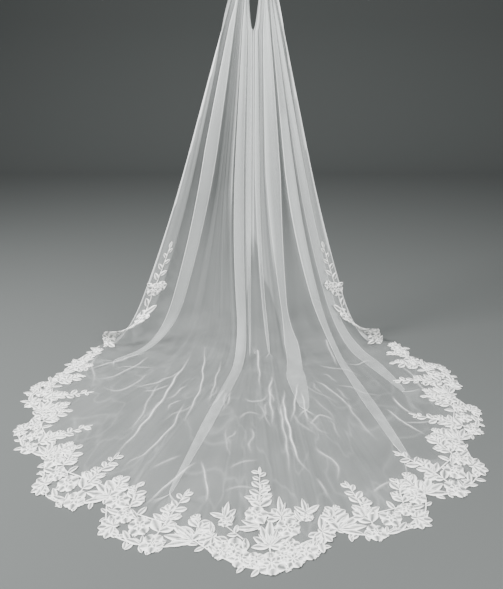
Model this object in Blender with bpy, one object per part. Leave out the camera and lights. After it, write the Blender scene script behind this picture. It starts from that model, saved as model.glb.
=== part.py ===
"""Bridal veil: one long sheet of soft tulle gathered on a hair comb, spread on the floor as a train,
with a scalloped lace border and two lace trails that climb its side edges.

Metres, +Z up. The origin is the middle of the comb's spine, where the veil is held. The veil hangs
down -Z, its right side faces -Y, and the train lies towards -Y on the floor at z = -DROP.

A place on the tulle has two numbers. u runs across the cloth, -1 at its left edge and 1 at its right
edge. g runs along it: 0 to 1 hangs from the comb, 1 to 2 bends onto the floor, 2 to 3 lies on the
floor and ends at the hem.
"""

import math

import bmesh
import bpy
import numpy as np
from mathutils.geometry import delaunay_2d_cdt

# Driving dimensions
DROP = 1.75  # comb above the floor
MIDDLE = 0.785  # drop at which the middle column of RAYS is given
WALL = 0.0012  # tulle
SEAM = 0.0003  # between the tulle and what is sewn on it
LACE = 0.0016  # lace cloth
PAD = 0.0012  # how much more the lace stands up inside its edges
HANG_Y = -0.0046  # plane of the hanging tulle, in front of the comb
BEND_DROP = 1.51  # where the hanging tulle starts to bend onto the floor
BEND_REACH = 0.20  # how far out on the floor the bend ends,
BEND_SHARE = 0.45  # and the most it takes of a short thread's run
HEM_INSIDE = 0.008  # tulle hem, inside the outer edge of the lace
FLOOR_Z = -DROP + WALL / 2

# Straight threads of the cloth, seen from the front: x at the comb, x at MIDDLE, foot on the floor
RAYS = (
    # u, comb_x, middle_x, foot_x, foot_y
    (-1.00, -0.052, -0.328, -0.745, 0.00),
    (-0.92, -0.050, -0.290, -0.650, 0.00),
    (-0.83, -0.047, -0.190, -0.450, -0.03),
    (-0.74, -0.044, -0.150, -0.360, -0.06),
    (-0.46, -0.038, -0.108, -0.110, -0.13),
    (-0.25, -0.033, -0.058, -0.040, -0.15),
    (0.00, -0.027, -0.008, -0.010, -0.15),
    (0.02, 0.028, -0.004, 0.015, -0.15),
    (0.10, 0.031, 0.015, 0.105, -0.15),
    (0.18, 0.034, 0.035, 0.150, -0.14),
    (0.41, 0.041, 0.120, 0.250, -0.09),
    (0.48, 0.0425, 0.144, 0.365, -0.05),
    (0.59, 0.045, 0.172, 0.425, -0.02),
    (0.77, 0.048, 0.212, 0.470, 0.00),
    (0.92, 0.051, 0.233, 0.520, 0.01),
    (1.00, 0.052, 0.262, 0.600, 0.02),
)

# The free top edge hangs in a deep U between the two gathered bunches
DIP = (
    # drop, left_x, right_x
    (0.000, -0.0270, 0.0270),
    (0.060, -0.0265, 0.0240),
    (0.167, -0.0250, 0.0145),
    (0.235, -0.0200, 0.0060),
    (0.270, -0.0150, -0.0010),
    (0.285, -0.0080, -0.0080),
)
DIP_SPREAD = 0.30  # how far in u the dip draws the threads beside it

# Hem scallops from the left edge to the right. Each chord starts at its cusp nearer the middle.
SCALLOPS = (
    # name, u_from, u_to, cusp_x, cusp_y, far_x, far_y, corner_at, depth
    ("left_5", -0.87, -1.00, -0.885, -0.323, -0.775, -0.050, 0.45, 0.020),
    ("left_4", -0.76, -0.87, -0.885, -0.648, -0.885, -0.323, 0.40, 0.096),
    ("left_3", -0.64, -0.76, -0.771, -0.957, -0.885, -0.648, 0.52, 0.106),
    ("left_2", -0.46, -0.64, -0.497, -1.186, -0.771, -0.957, 0.46, 0.146),
    ("left_1", -0.20, -0.46, -0.199, -1.391, -0.497, -1.186, 0.66, 0.135),
    ("middle", -0.20, 0.20, -0.199, -1.391, 0.262, -1.343, 0.52, 0.153),
    ("right_1", 0.20, 0.48, 0.262, -1.343, 0.576, -1.171, 0.70, 0.116),
    ("right_2", 0.48, 0.68, 0.576, -1.171, 0.786, -0.855, 0.52, 0.132),
    ("right_3", 0.68, 0.79, 0.786, -0.855, 0.839, -0.511, 0.54, 0.109),
    ("right_4", 0.79, 0.90, 0.839, -0.511, 0.748, -0.164, 0.44, 0.103),
    ("right_5", 0.90, 1.00, 0.748, -0.164, 0.710, 0.000, 0.50, 0.018),
)

# Large folds, each one a flat S of three layers. The overlaps are at MIDDLE, the foot and the floor.
FOLDS = (
    # u, half, side, over_middle, over_foot, over_floor, floor_end
    (-0.83, 0.090, 1, 0.024, 0.026, 0.020, 0.35),
    (-0.28, 0.105, 1, 0.022, 0.022, 0.032, 0.72),
    (-0.09, 0.075, -1, 0.012, 0.008, 0.008, 0.54),
    (0.10, 0.080, -1, 0.009, 0.018, 0.018, 0.54),
    (0.30, 0.110, 1, 0.028, 0.024, 0.036, 0.54),
    (0.50, 0.090, 1, 0.017, 0.022, 0.032, 0.54),
    (0.68, 0.090, -1, 0.014, 0.020, 0.030, 0.35),
)
# One fold across: place in its half width, then x as shares of half width, overlap and turn
FOLD_PROFILE = (
    # place, of_half, of_overlap, of_turn, layer_hanging, layer_on_floor
    (-1.00, -1, 0, 0, 0.0, 0.0),
    (-0.78, 0, -1, -2, -1.0, 0.0),
    (-0.56, 0, 1, 0, -1.0, 0.0),
    (-0.33, 0, 1, 1, -0.62, 0.38),
    (-0.11, 0, 1, 0, -0.25, 0.75),
    (0.11, 0, -1, 0, 0.25, 1.25),
    (0.33, 0, -1, -1, 0.62, 1.62),
    (0.56, 0, -1, 0, 1.0, 2.0),
    (0.78, 0, 1, 2, 1.0, 2.0),
    (1.00, 1, 0, 0, 0.0, 0.0),
)
INNER_PLACE = FOLD_PROFILE[5][0]  # end of the middle layer
TURN_HANGING = 0.0040  # radius of a fold's turn
TURN_ON_FLOOR = 0.0022
TURN_GROWS = 0.40  # drop by which a turn has its full radius
FOLDS_RISE_BY = 0.16  # drop by which the gathers stand up
# How far a fold has closed, 0 flat, 1 upright and 2 lying over itself, down the hanging part and
# by how much of the floor run is left before the fold's end
CLOSING_DROPS = (0.285, 0.45, 0.62)
CLOSING_LEFT = (0.18, 0.37, 0.55)
FOLD_SINKS = 0.18  # share of the floor run in which the rest of the fold sinks
MOST_OVERLAP, MOST_TURN = 0.66, 0.10  # shares of a fold's half width
MOST_MITRE = 1.5  # how much longer than the half wall an offset at a sharp turn can be
LEAST_FACING, LEANING_ROUNDS = 0.1, 300

# Creases that only lift the cloth on the floor
RIDGES = (
    # u, half, height, floor_from, floor_to
    (-0.70, 0.030, 0.010, 0.00, 0.50),
    (-0.55, 0.035, 0.014, 0.00, 0.72),
    (0.40, 0.030, 0.010, 0.15, 0.72),
)

# The two side edges of the cloth are turned forwards on the hanging part, and open out at the floor
EDGE_U = 0.92
EDGE_TURN = 0.005
EDGE_ANGLE = math.radians(172)
EDGE_TURNS_IN = 0.40  # length over which the strip turns
EDGE_OPEN_FROM, EDGE_OPEN_TO = 1.38, 1.73  # drop, counted on into the bend
EDGE_PLACES = (0.0, 0.11, 0.22, 0.35, 0.67, 1.0)

HANG_DROPS = (0.0, 0.10, 0.20, 0.26, 0.285, 0.45, 0.62, 0.85, 1.18, 1.36, 1.51)
BEND_PLACES = (0.33, 0.67, 1.0)
FLOOR_PLACES = (0.16, 0.35, 0.54, 0.72, 0.86, 1.0)
LEAST_COLUMN_STEP = 0.0125

# Comb and header
COMB_WIDTH, SPINE_HEIGHT, SPINE_DEPTH = 0.116, 0.0075, 0.0040
TOOTH_COUNT, TOOTH_LENGTH, TOOTH_WIDTH = 20, 0.038, 0.0018
HEADER_GAP, HEADER_TAPE, HEADER_HEIGHT = 0.0007, 0.0010, 0.011
BUNCH_OUTER, BUNCH_INNER = 0.052, 0.027
HEADER_SPARE = 0.0012  # tape past the bunch at each end

# Lace pieces on a scallop. Each row: kind, along the chord, inwards from it, heading in degrees,
# size, and a width, or for a sprig its number of leaf pairs. Metres on a chord of SIDE_CHORD.
SIDE_CHORD, SIDE_DEPTH = 0.358, 0.118
SIDE_LACE = (
    # kind, along, inwards, heading, size, more
    ("leaf", 0.000, 0.000, 33, 0.066, 0.024),
    ("leaf", 0.000, 0.000, 11, 0.098, 0.025),
    ("leaf", 0.000, 0.000, -20, 0.090, 0.025),
    ("leaf", 0.000, 0.000, -47, 0.080, 0.022),
    ("leaf", -0.002, 0.002, 95, 0.050, 0.026),
    ("sprig", 0.004, 0.020, 62, 0.084, 1),
    ("bloom", 0.092, -0.070, 20, 0.036, 5),
    ("sprig", 0.104, -0.045, 76, 0.210, 4),
    ("leaf", 0.128, 0.010, 110, 0.066, 0.018),
    ("leaf", 0.118, 0.012, 8, 0.060, 0.024),
    ("bloom", 0.176, -0.041, 50, 0.036, 5),
    ("stem", 0.130, 0.006, -10, 0.110, 0.005),
    ("leaf", 0.215, -0.012, 88, 0.044, 0.017),
    ("leaf", 0.205, -0.022, 3, 0.078, 0.024),
    ("bloom", 0.248, -0.034, 0, 0.028, 5),
    ("bloom", 0.318, 0.002, 10, 0.035, 6),
    ("stem", 0.272, -0.020, 30, 0.045, 0.005),
    ("sprig", 0.258, -0.006, 60, 0.132, 2),
    ("leaf", 0.268, -0.036, -12, 0.046, 0.017),
    ("stem", 0.176, -0.041, 90, 0.045, 0.005),
    ("stem", 0.318, 0.002, 0, 0.045, 0.005),
    ("fan", 0.246, -0.086, -38, 0.045, 3),
    ("stem", 0.246, -0.086, 95, 0.045, 0.005),
    ("leaf", 0.120, -0.088, 52, 0.032, 0.012),
    ("leaf", 0.118, -0.088, -12, 0.060, 0.015),
    ("leaf", 0.160, -0.098, 22, 0.050, 0.016),
)
MOTIF_CORNER = 0.69  # where along its chord the motif is deepest
MIDDLE_CHORD, MIDDLE_DEPTH = 0.463, 0.153
MIDDLE_LACE = (
    # kind, along, inwards, heading, size, more
    ("leaf", 0.235, -0.050, 101, 0.090, 0.024),
    ("leaf", 0.235, -0.050, 82, 0.117, 0.027),
    ("leaf", 0.235, -0.050, 58, 0.084, 0.025),
    ("leaf", 0.235, -0.050, 26, 0.088, 0.025),
    ("leaf", 0.235, -0.050, 137, 0.062, 0.025),
    ("leaf", 0.235, -0.050, 180, 0.056, 0.024),
    ("leaf", 0.235, -0.050, -20, 0.046, 0.020),
    ("stem", 0.235, -0.050, -92, 0.050, 0.006),
    ("bloom", 0.232, -0.122, 90, 0.046, 6),
    ("bloom", 0.186, -0.103, 30, 0.030, 5),
    ("bloom", 0.126, -0.050, 10, 0.042, 5),
    ("bud", 0.150, -0.098, 0, 0.017, 0),
    ("leaf", 0.100, -0.030, -64, 0.074, 0.022),
    ("leaf", 0.160, -0.060, 100, 0.066, 0.016),
    ("fan", 0.066, 0.006, -128, 0.045, 3),
    ("leaf", 0.062, 0.020, 92, 0.055, 0.022),
    ("fan", 0.405, -0.010, -60, 0.045, 3),
    ("leaf", 0.408, -0.005, 82, 0.075, 0.021),
    ("leaf", 0.372, -0.066, 60, 0.062, 0.030),
    ("leaf", 0.300, -0.086, 32, 0.080, 0.022),
    ("bloom", 0.294, -0.056, 0, 0.034, 5),
    ("bud", 0.314, -0.092, 0, 0.018, 0),
    ("bloom", 0.270, -0.097, 60, 0.028, 5),
    ("bloom", 0.303, 0.020, 12, 0.040, 6),
    ("fan", 0.290, 0.070, 84, 0.048, 3),
    ("leaf", 0.290, 0.080, 86, 0.094, 0.018),
    ("stem", 0.262, 0.020, 62, 0.070, 0.006),
    ("bloom", 0.209, 0.090, 80, 0.040, 5),
    ("leaf", 0.213, 0.030, 176, 0.080, 0.020),
    ("leaf", 0.213, 0.036, 147, 0.064, 0.020),
    ("stem", 0.212, 0.020, 90, 0.070, 0.006),
    ("sprig", 0.225, 0.110, 84, 0.232, 4),
    ("stem", 0.066, 0.006, 185, 0.070, 0.005),
    ("stem", 0.405, -0.010, 8, 0.062, 0.005),
    ("stem", 0.126, -0.050, 137, 0.082, 0.005),
    ("stem", 0.358, -0.052, 42, 0.062, 0.005),
    ("stem", 0.235, -0.050, 108, 0.080, 0.006),
    ("leaf", 0.232, 0.160, 155, 0.058, 0.022),
    ("leaf", 0.232, 0.160, 38, 0.052, 0.020),
    ("stem", 0.158, -0.020, 128, 0.086, 0.006),
    ("leaf", 0.122, 0.058, 80, 0.056, 0.013),
    ("bloom", 0.108, 0.068, 40, 0.022, 5),
    ("leaf", 0.112, 0.088, 152, 0.058, 0.021),
    ("leaf", 0.106, 0.090, 76, 0.076, 0.017),
    ("leaf", 0.112, 0.088, 48, 0.050, 0.020),
    ("stem", 0.322, 0.020, 52, 0.070, 0.006),
    ("leaf", 0.350, 0.046, 104, 0.056, 0.013),
    ("bloom", 0.372, 0.066, 20, 0.022, 5),
    ("leaf", 0.372, 0.080, 36, 0.062, 0.021),
    ("leaf", 0.374, 0.080, 92, 0.074, 0.017),
    ("leaf", 0.372, 0.080, 132, 0.050, 0.018),
)
END_CHORD, END_DEPTH = 0.294, 0.020
END_LACE = (
    # kind, along, inwards, heading, size, more
    ("stem", 0.000, 0.006, 180, 0.030, 0.005),
    ("leaf", 0.000, 0.006, 20, 0.070, 0.024),
    ("leaf", 0.000, 0.006, 48, 0.052, 0.022),
    ("leaf", 0.004, 0.006, -8, 0.056, 0.020),
    ("stem", 0.040, 0.010, 4, 0.150, 0.005),
    ("bloom", 0.078, 0.004, 10, 0.027, 5),
    ("leaf", 0.090, 0.012, 64, 0.060, 0.020),
    ("bloom", 0.128, 0.022, 40, 0.026, 5),
    ("leaf", 0.140, 0.016, -20, 0.044, 0.018),
    ("leaf", 0.140, 0.022, 58, 0.046, 0.018),
    ("bloom", 0.184, 0.018, 0, 0.022, 5),
)
# Trail up a side edge: along it from the foot, inwards from the edge
TRAIL_LACE = (
    # kind, along, inwards, heading, size, more
    ("stem", 0.020, 0.024, 5, 0.300, 0.005),
    ("stem", 0.305, 0.048, -3, 0.250, 0.005),
    ("bloom", 0.032, 0.028, 0, 0.021, 5),
    ("leaf", 0.060, 0.026, 48, 0.044, 0.016),
    ("leaf", 0.060, 0.028, -26, 0.040, 0.014),
    ("bloom", 0.120, 0.034, 20, 0.027, 5),
    ("leaf", 0.140, 0.034, 44, 0.046, 0.016),
    ("leaf", 0.140, 0.036, -24, 0.044, 0.016),
    ("bloom", 0.210, 0.040, 50, 0.024, 5),
    ("leaf", 0.250, 0.044, 36, 0.040, 0.014),
    ("leaf", 0.250, 0.044, -32, 0.040, 0.014),
    ("bloom", 0.320, 0.046, 0, 0.025, 5),
    ("leaf", 0.370, 0.044, 34, 0.036, 0.012),
    ("leaf", 0.370, 0.044, -34, 0.038, 0.012),
    ("leaf", 0.430, 0.041, 32, 0.032, 0.011),
    ("leaf", 0.430, 0.041, -30, 0.032, 0.011),
    ("leaf", 0.490, 0.038, 32, 0.028, 0.010),
    ("leaf", 0.490, 0.038, -32, 0.028, 0.010),
)
TRAIL_STARTS = 0.025  # chart length between the foot of the bend and the trail
BEND_LENGTH = 0.30  # chart length of the bend
TRAIL_BAND = 0.080  # width across the trail's chart, from the edge to the turned fold
TRAIL_LIFT = 0.0006  # of the lace over the turned edge, which curves
TRAIL_LACE_WALL = 0.0011

MERGE = 0.0004  # lace points nearer than this are one
BEAD = 0.0034
SPRIG_LEAF, SPRIG_TAPER, SPRIG_STEM = 0.044, 0.020, 0.0050
# Outlines of a leaf, as shares of its length and width
LARGE_LEAF = ((0, 0.16), (0.45, 0.5), (1, 0), (0.45, -0.5), (0, -0.16))
SMALL_LEAF = ((-0.05, 0), (0.42, 0.5), (1, 0), (0.42, -0.5))
SMALL_LEAF_LENGTH = 0.062

MATERIALS = {
    # name: colour, roughness, metallic
    "tulle": ((0.86, 0.87, 0.86), 0.85, 0.0),
    "lace": ((0.93, 0.93, 0.90), 0.70, 0.0),
    "header_tape": ((0.90, 0.90, 0.87), 0.45, 0.0),
    "comb_metal": ((0.78, 0.78, 0.80), 0.25, 1.0),
}


def smooth(x):
    """0 below 0, 1 above 1, and an S between them."""
    x = np.clip(x, 0.0, 1.0)
    return x * x * (3 - 2 * x)


def curve(x, table, column):
    """Smooth monotone curve through one column of a table whose first column is increasing."""
    xs = np.array([row[0] for row in table])
    ys = np.array([row[column] for row in table])
    step = np.diff(xs)
    slope = np.diff(ys) / step
    tangent = np.zeros(len(xs))
    tangent[0], tangent[-1] = slope[0], slope[-1]
    same_way = slope[1:] * slope[:-1] > 0
    inner = 2 * slope[1:] * slope[:-1] / np.where(same_way, slope[1:] + slope[:-1], 1)
    tangent[1:-1] = np.where(same_way, inner, 0)
    k = np.clip(np.searchsorted(xs, x, side="right") - 1, 0, len(xs) - 2)
    t = (x - xs[k]) / step[k]
    rise = (3 - 2 * t) * t * t
    return (
        ys[k] * (1 - rise)
        + ys[k + 1] * rise
        + step[k] * (tangent[k] * t * (1 - t) ** 2 - tangent[k + 1] * t * t * (1 - t))
    )


def half_table(side):
    """The rays of one half, with the middle thread's comb end on that half's bunch."""
    if side < 0:
        return [row for row in RAYS if row[0] <= 0]
    middle = next(row for row in RAYS if row[0] == 0)
    return [(0.0, BUNCH_INNER, *middle[2:])] + [row for row in RAYS if row[0] > 0]


def ray_values(u, side):
    """comb x, middle x, foot x and foot y of the thread u."""
    table = half_table(side)
    return [curve(u, table, column) for column in (1, 2, 3, 4)]


def hanging_x(u, side, drop):
    """x of thread u at a drop below the comb: straight to MIDDLE, then spreading to its foot. Near
    the middle it is drawn to the dip and to the straight thread below it."""
    comb, middle, foot, _ = ray_values(u, side)
    _, middle_0, foot_0, _ = ray_values(np.zeros_like(u), side)
    comb_0 = BUNCH_INNER * side

    def spread(at_comb, at_middle, at_foot):
        straight = at_comb + (at_middle - at_comb) * drop / MIDDLE
        missing = at_foot - at_comb - (at_middle - at_comb) * DROP / MIDDLE
        return straight + missing * np.clip((drop - MIDDLE) / (DROP - MIDDLE), 0, 1) ** 2

    drops = [row[0] for row in DIP]
    edge = np.interp(drop, drops, [row[1 if side < 0 else 2] for row in DIP])
    straight = middle_0 + (foot_0 - middle_0) * np.clip((drop - MIDDLE) / (DROP - MIDDLE), 0, 1)
    middle_line = np.where(drop < DIP[-1][0], edge, straight)
    pull = (middle_line - spread(comb_0, middle_0, foot_0)) * np.maximum(0, 1 - abs(u) / DIP_SPREAD)
    return spread(comb, middle, foot) + pull


def scallop_outline(row, t):
    """Point of a scallop's outer edge at t along its chord, and the chord's frame."""
    _, _, _, cusp_x, cusp_y, far_x, far_y, corner, depth = row
    cusp = np.array([cusp_x, cusp_y])
    chord = np.array([far_x, far_y]) - cusp
    along = chord / np.linalg.norm(chord)
    inwards = np.array([-along[1], along[0]])
    middle_of_train = np.array([0.0, -0.5])
    if inwards @ (middle_of_train - cusp) < 0:
        inwards = -inwards
    t = np.asarray(t, float)
    if row[0] == "middle":
        out = depth * np.sin(np.pi * t) ** 0.9
    else:
        rising = np.sin(np.pi / 2 * np.clip(t / corner, 0, 1) ** 0.6)
        falling = np.clip((1 - t) / (1 - corner), 0, 1) ** 0.7
        out = depth * np.where(t < corner, rising, falling)
    return cusp, along, inwards, np.linalg.norm(chord), out


def hem_point(u):
    """Where thread u ends on the floor, as x and y."""
    x, y = np.zeros_like(u), np.zeros_like(u)
    for row in SCALLOPS:
        low, high = min(row[1], row[2]), max(row[1], row[2])
        inside = (u >= low - 1e-9) & (u <= high + 1e-9)
        t = np.clip((u - row[1]) / (row[2] - row[1]), 0, 1)
        cusp, along, inwards, length, out = scallop_outline(row, t)
        out = np.maximum(out - HEM_INSIDE, 0)
        point = cusp + t[..., None] * length * along - out[..., None] * inwards
        x = np.where(inside, point[..., 0], x)
        y = np.where(inside, point[..., 1], y)
    return x, y


def plain_sheet(u, side, g):
    """The sheet with its folds smoothed away."""
    _, _, foot_x, foot_y = ray_values(u, side)
    hem_x, hem_y = hem_point(u)
    drop = np.clip(g, 0, 1) * BEND_DROP
    hanging = np.stack([hanging_x(u, side, drop), HANG_Y + foot_y * (drop / DROP) ** 3, -drop], -1)
    foot = np.stack([foot_x, foot_y, np.full_like(u, FLOOR_Z)], -1)
    hem = np.stack([hem_x, hem_y, np.full_like(u, FLOOR_Z)], -1)
    run = np.linalg.norm(hem - foot, axis=-1)
    reach = np.minimum(BEND_REACH, BEND_SHARE * run)
    out = foot + (hem - foot) * (reach / run)[..., None]
    t = np.clip(g - 1, 0, 1)[..., None]
    bend = hanging * (1 - t) ** 2 + 2 * foot * t * (1 - t) + out * t * t
    f = np.clip(g - 2, 0, 1)[..., None]
    floor = out + (hem - out) * f
    g = g[..., None]
    return np.where(g <= 1, hanging, np.where(g <= 2, bend, floor))


def frame(u, side, g):
    """Plain sheet at u and g, and the unit vector out of its right side."""
    step = 1e-3
    low, high = (-1.0, 0.0) if side < 0 else (0.0, 1.0)
    right, left = np.clip(u + step, low, high), np.clip(u - step, low, high)
    across = plain_sheet(right, side, g) - plain_sheet(left, side, g)
    below, above = np.clip(g + step, 0, 3), np.clip(g - step, 0, 3)
    down = plain_sheet(u, side, below) - plain_sheet(u, side, above)
    normal = np.cross(down, across)
    normal /= np.linalg.norm(normal, axis=-1, keepdims=True)
    return plain_sheet(u, side, g), normal


def folded(u, side, g):
    """Where the folds carry the thread u: the u that it lies at, and how far the cloth is lifted
    there, out of its right side."""
    drop = np.clip(g, 0, 1) * BEND_DROP
    on_floor = smooth(g - 1)
    f = np.clip(g - 2, 0, 1)
    lies_at, lift = u.copy(), np.zeros_like(u)
    turn = TURN_HANGING * np.clip(drop / TURN_GROWS, 0.1, 1) * (1 - on_floor) + TURN_ON_FLOOR * on_floor
    places = [row[0] for row in FOLD_PROFILE]
    for centre, half, way, over_middle, over_foot, over_floor, end in FOLDS:
        if centre * side < 0:
            continue
        place = (u - centre) / half * way
        inside = abs(place) <= 1
        hanging_over = np.interp(drop, [0, MIDDLE, BEND_DROP], [0, over_middle, over_foot])
        floor_over = over_foot + (over_floor - over_foot) * smooth((g - 1) / 1.3)
        over = np.where(g <= 1, hanging_over, floor_over)
        of_half, of_over, of_turn, hang, flat = (
            np.interp(place, places, [row[column] for row in FOLD_PROFILE]) for column in range(1, 6)
        )
        left = plain_sheet(np.full_like(u, centre - half), side, g)
        right = plain_sheet(np.full_like(u, centre + half), side, g)
        width = np.linalg.norm(right - left, axis=-1) / 2
        share_over = np.minimum(over / width, MOST_OVERLAP)
        share_turn = np.minimum(turn / width, MOST_TURN)
        target = centre + half * way * (of_half + of_over * share_over + of_turn * share_turn)
        closed = np.interp(drop, CLOSING_DROPS, (0, 1, 2))
        closed = np.minimum(closed, np.interp(end + 2 - g, CLOSING_LEFT, (0, 1, 2)))
        upright = INNER_PLACE / (INNER_PLACE + share_over)
        across = np.where(closed < 1, closed * upright, upright + (closed - 1) * (1 - upright))
        raised = smooth(drop / FOLDS_RISE_BY) * np.clip((end - f) / FOLD_SINKS, 0, 1)
        lies_at = np.where(inside, u + (target - u) * across, lies_at)
        layer = hang * (1 - on_floor) + flat * on_floor
        lift += np.where(inside, raised * layer * 2 * share_turn * width, 0)
    for centre, half, height, start, end in RIDGES:
        if centre * side < 0:
            continue
        shape = np.clip(1 - abs(u - centre) / half, 0, 1)
        along = smooth((g - 1.6 - start) / 0.5) * np.clip((end - f) / 0.35, 0, 1)
        lift += height * shape * along
    return lies_at, lift


def turned_edge(u, side, g, point):
    """Roll the strip outside EDGE_U forwards round its own fold line."""
    strip = abs(u) > EDGE_U
    line, normal = frame(np.full_like(u, EDGE_U * side), side, g)
    away = point - line
    distance = np.maximum(np.linalg.norm(away, axis=-1), 1e-9)
    outwards = away / distance[..., None]
    reach = np.clip(g, 0, 1) * BEND_DROP + np.clip(g - 1, 0, 1) * (DROP - BEND_DROP)
    opening = smooth((reach - EDGE_OPEN_FROM) / (EDGE_OPEN_TO - EDGE_OPEN_FROM))
    angle = EDGE_ANGLE * smooth((reach - CLOSING_DROPS[0]) / EDGE_TURNS_IN) * (1 - opening)
    bent = np.minimum(distance / EDGE_TURN, angle)
    rest = np.maximum(distance - angle * EDGE_TURN, 0)
    lateral = EDGE_TURN * np.sin(bent) + rest * np.cos(angle)
    raised = EDGE_TURN * (1 - np.cos(bent)) + rest * np.sin(angle)
    turned = line + outwards * lateral[..., None] + normal * raised[..., None]
    return np.where(strip[..., None], turned, point)


def cloth(u, side, g):
    """Middle of the tulle's wall at u and g."""
    lies_at, lift = folded(u, side, g)
    point, normal = frame(lies_at, side, g)
    return turned_edge(u, side, g, point + normal * lift[..., None])


def columns(side):
    """u of each column of one half, from the middle outwards: folds, ridges, cusps and the edge."""
    wanted = [0.0, EDGE_U, 1.0]
    for centre, half, way, *_ in FOLDS:
        if centre * side > 0:
            wanted += [abs(centre + way * row[0] * half) for row in FOLD_PROFILE]
    for row in SCALLOPS:
        wanted += [abs(value) for value in row[1:3] if value * side > 0]
    for centre, half, *_ in RIDGES:
        if centre * side > 0:
            wanted += [abs(centre) - half * 0.7, abs(centre), abs(centre) + half * 0.7]
    for row in SCALLOPS:
        if row[0] == "middle":
            wanted += [0.06, 0.12, 0.16]
        elif row[1] * side > 0:
            corner = row[1] + (row[2] - row[1]) * row[7]
            wanted += [abs(corner), abs(row[1] + (corner - row[1]) * 0.4)]
    wanted = [value for value in wanted if value <= EDGE_U or value == 1.0]
    kept = []
    for value in wanted:
        if all(abs(value - other) > LEAST_COLUMN_STEP for other in kept):
            kept.append(value)
    kept += [EDGE_U + (1 - EDGE_U) * place for place in EDGE_PLACES[1:-1]]
    return side * np.array(sorted(kept))


def rows():
    """g of each row, from the comb to the hem."""
    hanging = [drop / BEND_DROP for drop in HANG_DROPS]
    return np.array(hanging + [1 + place for place in BEND_PLACES] + [2 + place for place in FLOOR_PLACES])


def tulle_grid():
    """Middle points of the tulle as rows of columns from left to right, with a doubled middle
    column: the two copies part along the dip and are one below it."""
    g = rows()
    halves = []
    for side in (-1, 1):
        u = columns(side)
        if side < 0:
            u = u[::-1]
        grid_u, grid_g = np.meshgrid(u, g)
        halves.append((u, cloth(grid_u, side, grid_g)))
    return g, halves


def grid_normals(points, drop):
    """Directions in which the wall is built at a grid of points, out of the cloth's right side.
    Each leans towards all the facets round its point, and is longer where they turn sharply. Where
    the gathers are too close for that, the wall is built straight out to the front."""
    low, high = slice(None, -1), slice(1, None)
    a, b, c, d = points[low, low], points[high, low], points[high, high], points[low, high]
    around = np.zeros((6, *points.shape))
    first = (np.cross(b - a, c - a), ((low, low), (high, low), (high, high)))
    second = (np.cross(c - a, d - a), ((low, low), (high, high), (low, high)))
    for half, (facets, corners) in enumerate((first, second)):
        facets /= np.maximum(np.linalg.norm(facets, axis=-1, keepdims=True), 1e-12)
        for k, corner in enumerate(corners):
            around[half * 3 + k][corner] = facets
    there = np.linalg.norm(around, axis=-1) > 0.5
    normal = around.sum(0)
    for _ in range(LEANING_ROUNDS):
        normal /= np.linalg.norm(normal, axis=-1, keepdims=True)
        facing = (around * normal).sum(-1)
        short = np.where(there, np.maximum(LEAST_FACING - facing, 0), 0)
        normal = normal + (short[..., None] * around).sum(0) * 0.5
    normal /= np.linalg.norm(normal, axis=-1, keepdims=True)
    facing = np.where(there, (around * normal).sum(-1), 1)
    normal /= np.maximum(np.sort(facing, axis=0)[1], 1 / MOST_MITRE)[..., None]
    normal[drop <= CLOSING_DROPS[0]] = (0, -1, 0)
    return normal


def joined_grid():
    """Both halves side by side, their shared column below the dip averaged into one place."""
    g, ((left_u, left), (right_u, right)) = tulle_grid()
    drop = np.clip(g, 0, 1) * BEND_DROP
    whole = drop >= DIP[-1][0] - 1e-9
    seam = (left[whole, -1] + right[whole, 0]) / 2
    left[whole, -1] = seam
    right[whole, 0] = seam
    normals = np.concatenate([grid_normals(left, drop), grid_normals(right, drop)], axis=1)
    middle = len(left_u) - 1
    shared = normals[whole, middle] + normals[whole, middle + 1]
    shared /= np.linalg.norm(shared, axis=-1, keepdims=True)
    normals[whole, middle] = shared
    normals[whole, middle + 1] = shared
    points = np.concatenate([left, right], axis=1)
    return np.concatenate([left_u, right_u]), g, points, normals, middle, whole


def new_object(name, vertices, faces, material, sharp=30):
    """A named object with its mesh, material and shading."""
    mesh = bpy.data.meshes.new(name)
    mesh.from_pydata([tuple(v) for v in vertices], [], faces)
    mesh.validate()
    mesh.shade_smooth()
    mesh.set_sharp_from_angle(angle=math.radians(sharp))
    mesh.materials.append(material_named(material))
    obj = bpy.data.objects.new(name, mesh)
    bpy.context.scene.collection.objects.link(obj)
    return obj


def material_named(name):
    """Principled material from MATERIALS, made once."""
    if name in bpy.data.materials:
        return bpy.data.materials[name]
    colour, roughness, metallic = MATERIALS[name]
    material = bpy.data.materials.new(name)
    material.use_nodes = True
    shader = material.node_tree.nodes["Principled BSDF"]
    shader.inputs["Base Color"].default_value = (*colour, 1)
    shader.inputs["Roughness"].default_value = roughness
    shader.inputs["Metallic"].default_value = metallic
    return material


def quad_faces(a, b, c, d):
    """Two triangles of a grid cell, split from a to c."""
    return [(a, b, c), (a, c, d)]


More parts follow.
